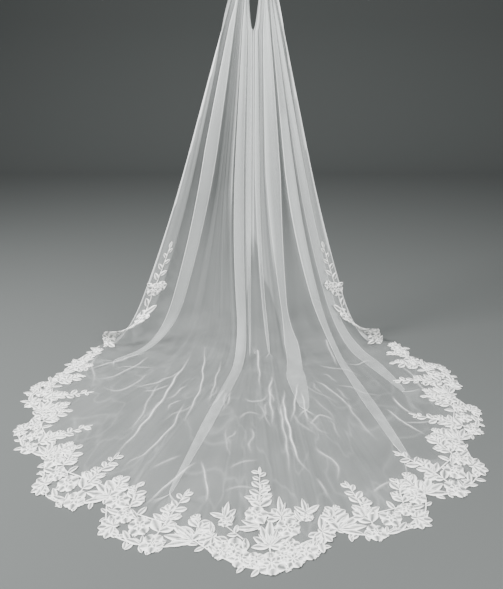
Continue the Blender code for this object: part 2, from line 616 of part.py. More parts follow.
def make_tulle():
    """The one sheet of tulle, as a wall with its two faces and its edges."""
    _, _, points, normals, middle, whole = joined_grid()
    row_count, column_count = points.shape[:2]
    front = points + normals * WALL / 2
    back = points - normals * WALL / 2
    for wall in (front, back):
        wall[..., 2] = np.maximum(wall[..., 2], -DROP)
    index = np.arange(row_count * column_count).reshape(row_count, column_count)
    for row in np.nonzero(whole)[0]:
        index[row, middle + 1] = index[row, middle]
    used, compact = np.unique(index, return_inverse=True)
    index = compact.reshape(index.shape)
    front = front.reshape(-1, 3)[used]
    back = back.reshape(-1, 3)[used]
    offset = len(used)
    faces = []
    for row in range(row_count - 1):
        for column in range(column_count - 1):
            if column != middle:
                left, right = index[row : row + 2, column], index[row : row + 2, column + 1]
                faces += quad_faces(left[0], left[1], right[1], right[0])
    outer = list(faces)
    faces = [tuple(int(i) for i in face) for face in outer]
    faces += [tuple(int(i) + offset for i in reversed(face)) for face in outer]
    edges = {}
    for face in outer:
        for a, b in zip(face, (*face[1:], face[0])):
            edges[(int(a), int(b))] = edges.get((int(a), int(b)), 0) + 1
    for a, b in edges:
        if (b, a) not in edges:
            faces += [(b, a, a + offset), (b, a + offset, b + offset)]
    return new_object("tulle", np.concatenate([front, back]), faces, "tulle", sharp=50)


def leaf(x, y, heading, length, width):
    """Pointed leaf from its base, as an outline."""
    shape = LARGE_LEAF if length > SMALL_LEAF_LENGTH else SMALL_LEAF
    return place_shape([(a * length, b * width) for a, b in shape], x, y, heading)


def place_shape(points, x, y, heading):
    """Turn an outline to its heading and move it."""
    c, s = math.cos(math.radians(heading)), math.sin(math.radians(heading))
    return [(x + a * c - b * s, y + a * s + b * c) for a, b in points]


def bloom(x, y, heading, radius, petals):
    """Open flower: a lobed outline with round petals."""
    points = []
    for k in range(int(petals) * 2):
        turn = math.pi * k / petals
        reach = radius * (1.0 if k % 2 == 0 else 0.74)
        points.append((reach * math.cos(turn), reach * math.sin(turn)))
    return place_shape(points, x, y, heading)


def fan(x, y, heading, radius, lobes):
    """Ruffled half flower that opens from its base towards the heading."""
    points = [(-0.35 * radius, 0.2 * radius)]
    for k in range(int(lobes) * 2 - 1):
        turn = math.radians(100) * (1 - 2 * k / (lobes * 2 - 2))
        reach = radius * (1.0 if k % 2 == 0 else 0.86)
        points.append((reach * math.cos(turn), reach * math.sin(turn)))
    points.append((-0.35 * radius, -0.2 * radius))
    return place_shape(points[::-1], x, y, heading)


def stem(x, y, heading, length, width):
    """Straight cord."""
    half = width / 2
    return place_shape([(0, half), (0, -half), (length, -half), (length, half)], x, y, heading)


def sprig(x, y, heading, length, pairs):
    """Leafy stalk as one outline: a stem whose pairs of leaves get smaller towards its tip."""
    right = []
    for k in range(int(pairs)):
        at = length * (0.14 + 0.66 * k / pairs)
        size = SPRIG_LEAF - SPRIG_TAPER * k / pairs
        lean = math.radians(40)
        right.append((at + size * 0.2, -size * 0.40))
        right.append((at + size * math.cos(lean), -size * math.sin(lean)))
        right.append((at + size * 0.62, -SPRIG_STEM / 2))
    right.append((length * 0.86, -SPRIG_STEM * 0.9))
    left = [(along, -across) for along, across in reversed(right)]
    shape = [(0, -SPRIG_STEM / 2), *right, (length, 0), *left, (0, SPRIG_STEM / 2)]
    return place_shape(shape, x, y, heading)


def outlines_of(table):
    """Outlines and raised middles of a lace table."""
    outlines, peaks = [], []
    for kind, x, y, heading, size, more in table:
        if kind == "leaf":
            outlines.append(leaf(x, y, heading, size, more))
        elif kind == "bloom":
            outlines.append(bloom(x, y, heading, size, more))
            peaks.append((x, y))
        elif kind == "bud":
            outlines.append(bloom(x, y, heading, size, 3))
        elif kind == "fan":
            outlines.append(fan(x, y, heading, size, more))
            peaks.append((x, y))
        elif kind == "stem":
            outlines.append(stem(x, y, heading, size, more))
        else:
            outlines.append(sprig(x, y, heading, size, more))
    return outlines, peaks


def union_edge(outlines):
    """Edge of the union of the outlines, as points and directed edges. Where two stretches of it
    meet in a single point, a small bead is added so that the union is solid there."""
    outlines = list(outlines)
    for _ in range(8):
        points = [p for outline in outlines for p in outline]
        starts = np.cumsum([0] + [len(outline) for outline in outlines])
        faces = [list(range(a, b)) for a, b in zip(starts, starts[1:])]
        vertices, _, triangles, _, _, origins = delaunay_2d_cdt(points, [], faces, 0, MERGE)
        covered = [t for t, origin in zip(triangles, origins) if origin]
        sides = {(a, b) for t in covered for a, b in zip(t, (*t[1:], t[0]))}
        edge = sorted((a, b) for a, b in sides if (b, a) not in sides)
        leaving = [a for a, _ in edge]
        pinched = sorted({a for a in leaving if leaving.count(a) > 1})
        if not pinched:
            return vertices, edge
        outlines += [bloom(vertices[a][0], vertices[a][1], 0, BEAD, 3) for a in pinched]
    raise ValueError("the lace still meets itself in a point")


def inside_edge(place, starts, ends):
    """Whether a place is inside the directed edges, by how many of them a ray to +X crosses."""
    spans = (starts[:, 1] > place[1]) != (ends[:, 1] > place[1])
    a, b = starts[spans], ends[spans]
    cross = a[:, 0] + (place[1] - a[:, 1]) / (b[:, 1] - a[:, 1]) * (b[:, 0] - a[:, 0])
    return np.count_nonzero(cross > place[0]) % 2 == 1


def fuse(outlines, peaks=(), guides=()):
    """Union of the outlines as triangles. Peaks are extra points inside it, and guides are lines
    that its triangles keep to. Also returns which points are on its edge."""
    vertices, edge = union_edge(outlines)
    used = sorted({i for pair in edge for i in pair})
    number = {old: new for new, old in enumerate(used)}
    points = [vertices[i][:] for i in used]
    edges = [(number[a], number[b]) for a, b in edge]
    starts = np.array([points[a] for a, _ in edges])
    ends = np.array([points[b] for _, b in edges])
    for line in guides:
        edges.append((len(points), len(points) + 1))
        points += line
    points += list(peaks)
    vertices, _, triangles, _, _, _ = delaunay_2d_cdt(points, edges, [], 0, MERGE)
    flat = np.array([v[:] for v in vertices])
    inside = [t for t in triangles if inside_edge(flat[list(t)].mean(0), starts, ends)]
    used = sorted({i for t in inside for i in t})
    number = {old: new for new, old in enumerate(used)}
    inside = [tuple(number[i] for i in t) for t in inside]
    sides = {(a, b) for t in inside for a, b in zip(t, (*t[1:], t[0]))}
    rim = {a for a, b in sides if (b, a) not in sides}
    return flat[used], inside, rim


def slab(name, low, high, triangles, material):
    """Closed solid between two matching sets of points."""
    offset = len(low)
    faces = [tuple(i + offset for i in t) for t in triangles]
    faces += [tuple(reversed(t)) for t in triangles]
    edges = {(a, b) for t in triangles for a, b in zip(t, (*t[1:], t[0]))}
    for a, b in sorted(edges):
        if (b, a) not in edges:
            faces += [(a, b, b + offset), (a, b + offset, a + offset)]
    return new_object(name, np.concatenate([low, high]), faces, material)


def counter_clockwise(outline):
    """The outline in the turning sense that the triangulation reads as a face."""
    area = sum(a[0] * b[1] - b[0] * a[1] for a, b in zip(outline, (*outline[1:], outline[0])))
    return outline if area > 0 else outline[::-1]


def border_outlines():
    """All lace outlines of the hem and their raised middles, laid out on the floor."""
    outlines, peaks = [], []
    for row in SCALLOPS:
        if row[0] == "middle":
            table, chord, depth = MIDDLE_LACE, MIDDLE_CHORD, MIDDLE_DEPTH
        elif row[0].endswith("5"):
            table, chord, depth = END_LACE, END_CHORD, END_DEPTH
        else:
            table, chord, depth = SIDE_LACE, SIDE_CHORD, SIDE_DEPTH
        cusp, along, inwards, length, _ = scallop_outline(row, 0.0)
        deep = row[8] / depth
        sheared = 0.45 * (row[7] - MOTIF_CORNER) * chord / depth if table is SIDE_LACE else 0

        def on_floor(x, y):
            if y < 0:
                x -= sheared * y
                y *= deep
            return tuple(cusp + along * x * length / chord + inwards * y)

        shapes, middles = outlines_of(table)
        outlines += [counter_clockwise([on_floor(x, y) for x, y in shape]) for shape in shapes]
        peaks += [on_floor(x, y) for x, y in middles]
    return outlines, peaks


def make_border():
    """Scalloped lace border that lies on the hem of the train."""
    flat, triangles, rim = fuse(*border_outlines())
    low = np.column_stack([flat, np.full(len(flat), -DROP + WALL + SEAM)])
    high = low.copy()
    high[:, 2] += LACE
    for k in range(len(flat)):
        if k not in rim:
            high[k, 2] += PAD
    return slab("lace_border", low, high, triangles, "lace")


def trail_grid(side):
    """Grid of the tulle's right side at one turned edge, from the edge inwards, with its normals,
    and the chart's two coordinates of the grid's rows and columns."""
    u, g, points, normals, _, _ = joined_grid()
    strip = abs(u) >= EDGE_U - 1e-9
    strip &= u * side > 0
    outer = points[:, strip] + normals[:, strip] * WALL / 2
    facing = normals[:, strip]
    inwards = (1 - abs(u[strip])) / (1 - EDGE_U) * TRAIL_BAND
    along = np.where(g > 1, (2 - g) * BEND_LENGTH, BEND_LENGTH + (1 - g) * BEND_DROP) - TRAIL_STARTS
    order = np.argsort(inwards)
    return outer[:, order], facing[:, order], along, inwards[order], side > 0


def on_facets(place, outer, facing, along, inwards, mirrored):
    """A chart place carried onto the tulle's own facets: its point and its normal there."""
    x, y = place
    row = int(np.clip(np.searchsorted(-along, -x, side="right") - 1, 0, len(along) - 2))
    column = int(np.clip(np.searchsorted(inwards, y, side="right") - 1, 0, len(inwards) - 2))
    down = (along[row] - x) / (along[row] - along[row + 1])
    across = (y - inwards[column]) / (inwards[column + 1] - inwards[column])
    corners = [(row, column), (row + 1, column), (row + 1, column + 1), (row, column + 1)]
    if mirrored:
        far = down + across > 1
        shares = (0, 1 - across, down + across - 1, 1 - down) if far else (1 - down - across, down, 0, across)
    elif down > across:
        shares = (1 - down, down - across, across, 0)
    else:
        shares = (1 - across, 0, down, across - down)
    point = sum(share * outer[corner] for share, corner in zip(shares, corners))
    normal = sum(share * facing[corner] for share, corner in zip(shares, corners))
    return point, normal / np.linalg.norm(normal)


def make_trail(name, side):
    """Lace trail on the right side of one turned edge. Its triangles keep to the tulle's facets."""
    outer, facing, along, inwards, mirrored = trail_grid(side)
    first, last = -0.02, 0.60
    guides = []
    cells = [(k, k + 1) for k in range(len(along) - 1) if along[k] > first and along[k + 1] < last]
    for high, low in cells:
        top, bottom = float(along[high]), float(along[low])
        guides.append(((bottom, 0.0), (bottom, TRAIL_BAND)))
        for near, far in zip(inwards, inwards[1:]):
            if mirrored:
                guides.append(((bottom, float(near)), (top, float(far))))
            else:
                guides.append(((top, float(near)), (bottom, float(far))))
    top, bottom = float(along[cells[0][0]]), float(along[cells[-1][1]])
    guides += [((bottom, float(place)), (top, float(place))) for place in inwards[1:-1]]
    outlines, peaks = outlines_of(TRAIL_LACE)
    outlines = [counter_clockwise(outline) for outline in outlines]
    flat, triangles, _ = fuse(outlines, peaks, guides)
    carried = [on_facets(place, outer, facing, along, inwards, mirrored) for place in flat]
    points = np.array([point for point, _ in carried])
    normals = np.array([normal for _, normal in carried])
    a, b, c = (points[[t[k] for t in triangles]] for k in range(3))
    turned = (np.cross(b - a, c - a) * normals[[t[0] for t in triangles]]).sum() < 0
    if turned:
        triangles = [(i, k, j) for i, j, k in triangles]
    low = points + normals * TRAIL_LIFT
    return slab(name, low, low + normals * TRAIL_LACE_WALL, triangles, "lace")


def make_comb():
    """Comb: a flat-backed spine with a row of tapered teeth, as one piece."""
    mesh = bmesh.new()
    half = COMB_WIDTH / 2
    pitch = (COMB_WIDTH - 2 * TOOTH_WIDTH) / (TOOTH_COUNT - 1)
    profile = [(-half, SPINE_HEIGHT / 2), (-half, -SPINE_HEIGHT / 2)]
    for k in range(TOOTH_COUNT):
        x = -half + TOOTH_WIDTH + k * pitch
        end = -SPINE_HEIGHT / 2 - TOOTH_LENGTH
        profile += [(x - TOOTH_WIDTH / 2, -SPINE_HEIGHT / 2), (x - TOOTH_WIDTH / 4, end)]
        profile += [(x + TOOTH_WIDTH / 4, end), (x + TOOTH_WIDTH / 2, -SPINE_HEIGHT / 2)]
    profile += [(half, -SPINE_HEIGHT / 2), (half, SPINE_HEIGHT / 2)]
    front = [mesh.verts.new((x, -SPINE_DEPTH / 2, z)) for x, z in profile]
    face = mesh.faces.new(front)
    grown = bmesh.ops.extrude_face_region(mesh, geom=[face])
    moved = [v for v in grown["geom"] if isinstance(v, bmesh.types.BMVert)]
    bmesh.ops.translate(mesh, verts=moved, vec=(0, SPINE_DEPTH, 0))
    bmesh.ops.triangulate(mesh, faces=mesh.faces[:])
    bmesh.ops.recalc_face_normals(mesh, faces=mesh.faces[:])
    data = bpy.data.meshes.new("comb")
    mesh.to_mesh(data)
    mesh.free()
    data.materials.append(material_named("comb_metal"))
    obj = bpy.data.objects.new("comb", data)
    bpy.context.scene.collection.objects.link(obj)
    return obj


def make_header(name, side):
    """Tape folded over the gathered top of one bunch: an upside-down U, clear of the tulle in it."""
    inner = WALL / 2 + HEADER_GAP
    outer = inner + HEADER_TAPE
    top = HEADER_GAP
    bottom = top - HEADER_HEIGHT
    profile = (
        (-outer, bottom), (-inner, bottom), (-inner, top), (inner, top),
        (inner, bottom), (outer, bottom), (outer, top + HEADER_TAPE), (-outer, top + HEADER_TAPE),
    )
    ends = sorted((side * (BUNCH_INNER - HEADER_SPARE), side * (BUNCH_OUTER + HEADER_SPARE)))
    mesh = bmesh.new()
    start = [mesh.verts.new((ends[0], HANG_Y + y, z)) for y, z in profile]
    face = mesh.faces.new(start)
    grown = bmesh.ops.extrude_face_region(mesh, geom=[face])
    moved = [v for v in grown["geom"] if isinstance(v, bmesh.types.BMVert)]
    bmesh.ops.translate(mesh, verts=moved, vec=(ends[1] - ends[0], 0, 0))
    bmesh.ops.triangulate(mesh, faces=mesh.faces[:])
    bmesh.ops.recalc_face_normals(mesh, faces=mesh.faces[:])
    data = bpy.data.meshes.new(name)
    mesh.to_mesh(data)
    mesh.free()
    data.materials.append(material_named("header_tape"))
    obj = bpy.data.objects.new(name, data)
    bpy.context.scene.collection.objects.link(obj)
    return obj


def main():
    for obj in list(bpy.data.objects):
        bpy.data.objects.remove(obj, do_unlink=True)
    make_tulle()
    make_border()
    make_trail("lace_trail_left", -1)
    make_trail("lace_trail_right", 1)
    make_comb()
    make_header("header_left", -1)
    make_header("header_right", 1)


main()
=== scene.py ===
# %% [markdown]
# # A cathedral bridal veil
# A real veil of this kind is one long sheet of soft tulle. Its top edge is gathered in two bunches
# on a hair comb, it falls to the floor, and its train spreads out in front of us. A border of
# floral lace is sewn round the scalloped hem and climbs the two side edges.
#
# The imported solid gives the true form. Here it is dressed: a sheer sheet with its folds, creases
# and gathers, lace whose petals and leaves are raised and stitched, and the sewing at the comb.

# %%
import math

import bpy
import numpy as np

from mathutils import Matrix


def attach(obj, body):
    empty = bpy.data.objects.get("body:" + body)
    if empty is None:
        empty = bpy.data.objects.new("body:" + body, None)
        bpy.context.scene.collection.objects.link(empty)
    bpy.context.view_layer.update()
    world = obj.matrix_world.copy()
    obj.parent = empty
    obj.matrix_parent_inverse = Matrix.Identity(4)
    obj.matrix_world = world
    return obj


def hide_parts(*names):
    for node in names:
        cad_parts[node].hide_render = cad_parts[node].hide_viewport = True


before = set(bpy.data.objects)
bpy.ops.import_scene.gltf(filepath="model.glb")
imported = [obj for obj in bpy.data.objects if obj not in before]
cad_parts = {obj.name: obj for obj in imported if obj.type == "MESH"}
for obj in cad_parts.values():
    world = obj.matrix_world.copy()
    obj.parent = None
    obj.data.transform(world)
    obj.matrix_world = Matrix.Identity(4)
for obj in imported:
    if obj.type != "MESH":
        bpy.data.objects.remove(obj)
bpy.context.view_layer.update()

# %% [markdown]
# ## The place of every thread
# The sheet is a surface of two numbers. u runs across it, from -1 at the left edge to 1 at the right
# edge. g runs along it: 0 to 1 hangs from the comb, 1 to 2 bends onto the floor, 2 to 3 lies on the
# floor. The tables are those of the solid, so the sheet lies on it, but for a few threads that are
# moved by a centimetre or two towards the picture.

# %% Sizes shared with the solid
DROP = 1.75  # comb above the floor
MIDDLE = 0.785  # drop at which the middle column of THREADS is given
BEND_DROP = 1.51  # drop at which the cloth starts to bend onto the floor
BEND_REACH, BEND_SHARE = 0.20, 0.45  # the bend ends this far out, or at this share of a short run
HANG_Y = -0.0046  # plane of the hanging tulle, in front of the comb's middle
FLOOR_Z = -DROP + 0.0006  # middle of the solid's wall where it lies on the floor
BUNCH_INNER, BUNCH_OUTER = 0.027, 0.052  # distance of a bunch's two ends from the comb's middle
DIP_U = 0.30  # the free edge between the bunches draws the threads up to here with it
EDGE_U = 0.92  # outside this thread the cloth is turned forwards
EDGE_TURN, EDGE_ANGLE = 0.005, math.radians(172)  # radius of that turn, and how far round it goes
UP = np.array([0.0, 0.0, 1.0])

THREADS = (
    # u, comb_x, middle_x, foot_x, foot_y
    (-1.00, -0.052, -0.344, -0.745, 0.00),
    (-0.92, -0.050, -0.290, -0.650, 0.00),
    (-0.83, -0.047, -0.190, -0.450, -0.03),
    (-0.74, -0.044, -0.150, -0.360, -0.06),
    (-0.46, -0.038, -0.108, -0.110, -0.13),
    (-0.25, -0.033, -0.058, -0.040, -0.15),
    (0.00, -0.027, -0.008, -0.010, -0.15),
    (0.02, 0.028, -0.004, 0.015, -0.15),
    (0.10, 0.031, 0.015, 0.085, -0.15),
    (0.18, 0.034, 0.035, 0.130, -0.14),
    (0.41, 0.041, 0.118, 0.225, -0.09),
    (0.48, 0.0425, 0.144, 0.365, -0.05),
    (0.59, 0.045, 0.172, 0.425, -0.02),
    (0.77, 0.048, 0.212, 0.470, 0.00),
    (0.92, 0.051, 0.233, 0.520, 0.01),
    (1.00, 0.052, 0.274, 0.600, 0.02),
)
DIP = (
    # drop, left_x, right_x of the free top edge between the bunches
    (0.000, -0.0270, 0.0270),
    (0.060, -0.0265, 0.0240),
    (0.167, -0.0250, 0.0145),
    (0.235, -0.0200, 0.0060),
    (0.270, -0.0150, -0.0010),
    (0.285, -0.0080, -0.0080),
)
SCALLOPS = (
    # name, u_from, u_to, cusp_x, cusp_y, far_x, far_y, corner_at, depth
    ("left_5", -0.87, -1.00, -0.885, -0.323, -0.775, -0.050, 0.45, 0.020),
    ("left_4", -0.76, -0.87, -0.885, -0.648, -0.885, -0.323, 0.40, 0.096),
    ("left_3", -0.64, -0.76, -0.771, -0.957, -0.885, -0.648, 0.52, 0.106),
    ("left_2", -0.46, -0.64, -0.497, -1.186, -0.771, -0.957, 0.46, 0.146),
    ("left_1", -0.20, -0.46, -0.199, -1.391, -0.497, -1.186, 0.66, 0.135),
    ("middle", -0.20, 0.20, -0.199, -1.391, 0.262, -1.343, 0.52, 0.153),
    ("right_1", 0.20, 0.48, 0.262, -1.343, 0.576, -1.171, 0.70, 0.116),
    ("right_2", 0.48, 0.68, 0.576, -1.171, 0.786, -0.855, 0.52, 0.132),
    ("right_3", 0.68, 0.79, 0.786, -0.855, 0.839, -0.511, 0.54, 0.109),
    ("right_4", 0.79, 0.90, 0.839, -0.511, 0.748, -0.164, 0.44, 0.103),
    ("right_5", 0.90, 1.00, 0.748, -0.164, 0.710, 0.000, 0.50, 0.018),
)

# %% [markdown]
# The tables give only a few threads. A smooth curve through their rows gives all the others. It
# must not swing past a row, or threads would cross, so it is a monotone cubic: its slope is the
# harmonic mean of the slopes on its two sides, and it is level where the rows turn back.

# %% Curves through tables


def smooth(x):
    """0 below 0, 1 above 1, and an S between them: 3 x^2 - 2 x^3."""
    x = np.clip(x, 0.0, 1.0)
    return x * x * (3 - 2 * x)


def curve(x, table, column):
    """Monotone cubic through one column of a table, with harmonic means as its slopes."""
    xs = np.array([row[0] for row in table])
    ys = np.array([row[column] for row in table])
    step = np.diff(xs)
    slope = np.diff(ys) / step
    tangent = np.zeros(len(xs))
    tangent[0], tangent[-1] = slope[0], slope[-1]
    same_way = slope[1:] * slope[:-1] > 0
    inner = 2 * slope[1:] * slope[:-1] / np.where(same_way, slope[1:] + slope[:-1], 1)
    tangent[1:-1] = np.where(same_way, inner, 0)
    k = np.clip(np.searchsorted(xs, x, side="right") - 1, 0, len(xs) - 2)
    t = (x - xs[k]) / step[k]
    rise = (3 - 2 * t) * t * t
    bow = step[k] * (tangent[k] * t * (1 - t) ** 2 - tangent[k + 1] * t * t * (1 - t))
    return ys[k] * (1 - rise) + ys[k + 1] * rise + bow


def threads_of(side):
    """The threads of one half. The right half's first thread starts at the right bunch."""
    if side < 0:
        return [row for row in THREADS if row[0] <= 0]
    middle = next(row for row in THREADS if row[0] == 0)
    return [(0.0, BUNCH_INNER, *middle[2:])] + [row for row in THREADS if row[0] > 0]


def hanging_x(u, side, drop):
    """x of a thread at a drop: straight to MIDDLE, then a parabola to its foot, drawn to the dip."""
    table = threads_of(side)

    def spread(v):
        top, middle, foot = (curve(v, table, column) for column in (1, 2, 3))
        straight = top + (middle - top) * drop / MIDDLE
        missing = foot - top - (middle - top) * DROP / MIDDLE
        return straight + missing * np.clip((drop - MIDDLE) / (DROP - MIDDLE), 0, 1) ** 2

    zero = np.zeros_like(u)
    _, middle_0, foot_0 = (curve(zero, table, column) for column in (1, 2, 3))
    edge = np.interp(drop, [row[0] for row in DIP], [row[1 if side < 0 else 2] for row in DIP])
    below = middle_0 + (foot_0 - middle_0) * np.clip((drop - MIDDLE) / (DROP - MIDDLE), 0, 1)
    line = np.where(drop < DIP[-1][0], edge, below)
    return spread(u) + (line - spread(zero)) * np.maximum(0, 1 - abs(u) / DIP_U)


def unit(vectors):
    """The same directions with length 1: each vector divided by its length."""
    return vectors / np.linalg.norm(vectors, axis=-1, keepdims=True)


# %% [markdown]
# ## The scalloped hem
# Each scallop is a straight chord between two cusps with the hem bulging out from it. The bulge
# rises steeply to a corner and falls more slowly behind it, as the lace motif does.

# %% Hem
TRAIN_MIDDLE = np.array([0.0, -0.5])  # a place on the train that every scallop points away from


def scallop_frame(row):
    """Cusp, direction along the chord, direction inwards, and length of a scallop."""
    cusp = np.array(row[3:5])
    chord = np.array(row[5:7]) - cusp
    length = np.linalg.norm(chord)
    along = chord / length
    inwards = np.array([-along[1], along[0]])
    if inwards @ (TRAIN_MIDDLE - cusp) < 0:
        inwards = -inwards
    return cusp, along, inwards, length


def hem_point(u, inside=0.006):
    """x and y of the hem at thread u, a little inside the outer edge of the lace: as far along its
    scallop's chord as u is through the scallop's threads, and then out from the chord by the bulge.
    It rises as the sine of a power up to the corner and falls as a power of what is left of the
    chord. That of the middle scallop is a power of a sine."""
    x, y = np.zeros_like(u), np.zeros_like(u)
    for row in SCALLOPS:
        low, high = min(row[1:3]), max(row[1:3])
        here = (u >= low - 1e-9) & (u <= high + 1e-9)
        t = np.clip((u - row[1]) / (row[2] - row[1]), 0, 1)
        cusp, along, inwards, length = scallop_frame(row)
        corner, depth = row[7:9]
        if row[0] == "middle":
            out = depth * np.sin(np.pi * t) ** 0.9
        else:
            rising = np.sin(np.pi / 2 * np.clip(t / corner, 0, 1) ** 0.6)
            falling = np.clip((1 - t) / (1 - corner), 0, 1) ** 0.7
            out = depth * np.where(t < corner, rising, falling)
        out = np.maximum(out - inside, 0)
        point = cusp + t[..., None] * length * along - out[..., None] * inwards
        x, y = np.where(here, point[..., 0], x), np.where(here, point[..., 1], y)
    return x, y


print("hem from", hem_point(np.array([-1.0]))[0][0], "to", hem_point(np.array([1.0]))[0][0])

# %% [markdown]
# Now the sheet without its folds can be written down. A thread hangs, bends onto the floor and runs
# straight to its place on the hem. The bend is a curve of second degree, drawn towards the corner
# where the hanging line would meet the floor, so it meets both without a kink.

# %% The plain sheet


def plain_sheet(u, side, g):
    """The sheet with its folds smoothed away: the hanging line for g up to 1, from there a curve of
    second degree drawn towards the foot for g up to 2, and a straight line to the hem."""
    foot_x, foot_y = (curve(u, threads_of(side), column) for column in (3, 4))
    hem_x, hem_y = hem_point(u)
    drop = np.clip(g, 0, 1) * BEND_DROP
    hanging = np.stack([hanging_x(u, side, drop), HANG_Y + foot_y * (drop / DROP) ** 3, -drop], -1)
    foot = np.stack([foot_x, foot_y, np.full_like(u, FLOOR_Z)], -1)
    hem = np.stack([hem_x, hem_y, np.full_like(u, FLOOR_Z)], -1)
    run = np.linalg.norm(hem - foot, axis=-1)
    out = foot + (hem - foot) * (np.minimum(BEND_REACH, BEND_SHARE * run) / run)[..., None]
    t = np.clip(g - 1, 0, 1)[..., None]
    bend = hanging * (1 - t) ** 2 + 2 * foot * t * (1 - t) + out * t * t
    floor = out + (hem - out) * np.clip(g - 2, 0, 1)[..., None]
    g = g[..., None]
    return np.where(g <= 1, hanging, np.where(g <= 2, bend, floor))


def sheet_frame(u, side, g):
    """Point of the plain sheet and the unit vector out of its right side, from two tangents."""
    step = 1e-3
    low, high = (-1.0, 0.0) if side < 0 else (0.0, 1.0)
    across = plain_sheet(np.clip(u + step, low, high), side, g)
    across = across - plain_sheet(np.clip(u - step, low, high), side, g)
    down = plain_sheet(u, side, np.clip(g + step, 0, 3)) - plain_sheet(u, side, np.clip(g - step, 0, 3))
    normal = np.cross(down, across)
    return plain_sheet(u, side, g), unit(normal)


# %% [markdown]
# ## Large folds
# The cloth is wider than the space it hangs in, so it lies in flat S folds: forwards, back over
# itself, and forwards again. Three layers of sheer net hide more than one, which is why the folds
# read as pale bands. The bright line at each turn comes partly from those layers and partly from a
# painted highlight in the net's colour. A fold moves threads sideways, so it is written as a change
# of u, and its layers are parted by a few millimetres.

# %% Fold tables
FOLDS = (
    # u, half, side, over_middle, over_foot, over_floor, floor_end, taper, drift
    (-0.83, 0.090, 1, 0.024, 0.026, 0.014, 0.26, 0.30, 0.0),
    (-0.28, 0.105, 1, 0.032, 0.020, 0.021, 0.84, 0.45, 0.0),
    (-0.09, 0.075, -1, 0.016, 0.004, 0.002, -0.35, 0.30, 0.0),
    (0.08, 0.060, -1, 0.010, 0.004, 0.002, -0.35, 0.30, 0.0),
    (0.30, 0.110, 1, 0.032, 0.014, 0.056, 0.36, 0.32, -0.085),
    (0.50, 0.090, 1, 0.020, 0.024, 0.017, 0.86, 0.45, -0.015),
    (0.68, 0.090, -1, 0.018, 0.030, 0.026, 0.52, 0.45, 0.0),
)
FOLD_PROFILE = (
    # place, of_half, of_overlap, of_turn, layer_hanging, layer_on_floor, turn_here
    (-1.00, -1, 0, 0, 0.0, 0.0, 0),
    (-0.78, 0, -1, -2, -1.0, 0.0, 0),
    (-0.56, 0, 1, 0, -1.0, 0.0, 0),
    (-0.33, 0, 1, 1, -0.5, 0.5, 1),
    (-0.11, 0, 1, 0, -0.1, 0.9, 0),
    (0.11, 0, -1, 0, 0.1, 1.1, 0),
    (0.33, 0, -1, -1, 0.5, 1.5, 1),
    (0.56, 0, -1, 0, 1.0, 2.0, 0),
    (0.78, 0, 1, 2, 1.0, 2.0, 0),
    (1.00, 1, 0, 0, 0.0, 0.0, 0),
)
TURN_HANGING, TURN_ON_FLOOR = 0.0040, 0.0014  # radius of a fold's turn in the air and on the floor
MOST_OVER, MOST_TURN = 0.66, 0.1  # largest overlap and turn, as shares of a fold's half width

# %% [markdown]
# To fold the sheet, each thread inside a fold is given the place of another one: at the first turn
# it has gone too far, at the second it has come back. Towards the fold's end on the floor the
# overlap shrinks to nothing, and the fold opens into the flat train.

# %% Moving the threads


def drifting(g):
    """How much of its drift a fold has taken by g."""
    return smooth((g - 1.5) / 0.9)


def folded(u, side, g):
    """The u that each thread lies at, its lift out of the right side, and how sharply it turns: the
    fold's centre plus the profile's shares of its half width, its overlap and its turn."""
    drop = np.clip(g, 0, 1) * BEND_DROP
    on_floor = smooth(g - 1)
    f = g - 2
    lies_at, lift, edge = u.copy(), np.zeros_like(u), np.zeros_like(u)
    turn = TURN_HANGING * np.clip(drop / 0.4, 0.1, 1) * (1 - on_floor) + TURN_ON_FLOOR * on_floor
    places = [row[0] for row in FOLD_PROFILE]
    for centre, half, way, over_middle, over_foot, over_floor, end, taper_run, drift in FOLDS:
        if centre * side < 0:
            continue
        centre = centre + drift * drifting(g)
        place = (u - centre) / half * way
        inside = abs(place) <= 1
        over = np.interp(drop, [0, MIDDLE, BEND_DROP], [0, over_middle, over_foot])
        over = np.where(g <= 1, over, over_foot + (over_floor - over_foot) * smooth((g - 1) / 0.9))
        of_half, of_over, of_turn, hang, flat, sharp = (
            np.interp(place, places, [row[k] for row in FOLD_PROFILE]) for k in range(1, 7)
        )
        left = plain_sheet(centre - half + 0 * u, side, g)
        right = plain_sheet(centre + half + 0 * u, side, g)
        width = np.linalg.norm(right - left, axis=-1) / 2
        taper = np.clip((end - f) / taper_run, 0, 1) ** 0.9
        share_over = np.minimum(over / width, MOST_OVER) * taper
        share_turn = np.minimum(turn / width, MOST_TURN)
        target = centre + half * way * (of_half + of_over * share_over + of_turn * share_turn)
        closed = smooth((drop - 0.05) / 0.22) * smooth((end - f) / 0.08)
        raised = smooth(drop / 0.16) * smooth((end + 0.04 - f) / 0.2)
        lies_at = np.where(inside, u + (target - u) * closed, lies_at)
        layer = hang * (1 - on_floor) + flat * on_floor
        lift += np.where(inside, raised * layer * 2 * share_turn * width, 0)
        edge += np.where(inside, smooth((sharp - 0.35) / 0.5) * np.maximum(closed, 0.25 * raised), 0)
    return lies_at, lift, edge


# %% [markdown]
# The two side edges curl forwards as they hang. The strip outside a fold line is rolled round it:
# first an arc of small radius, then the rest of the strip straight on. The roll starts under the
# comb and is gone where the edge meets the floor.

# %% The turned edge
TURN_STARTS, TURN_GROWS = 0.02, 0.5  # down the thread: where the roll begins, and over what length
TURN_ENDS, TURN_FADES = 1.50, 0.25  # where it starts to open again, and over what length


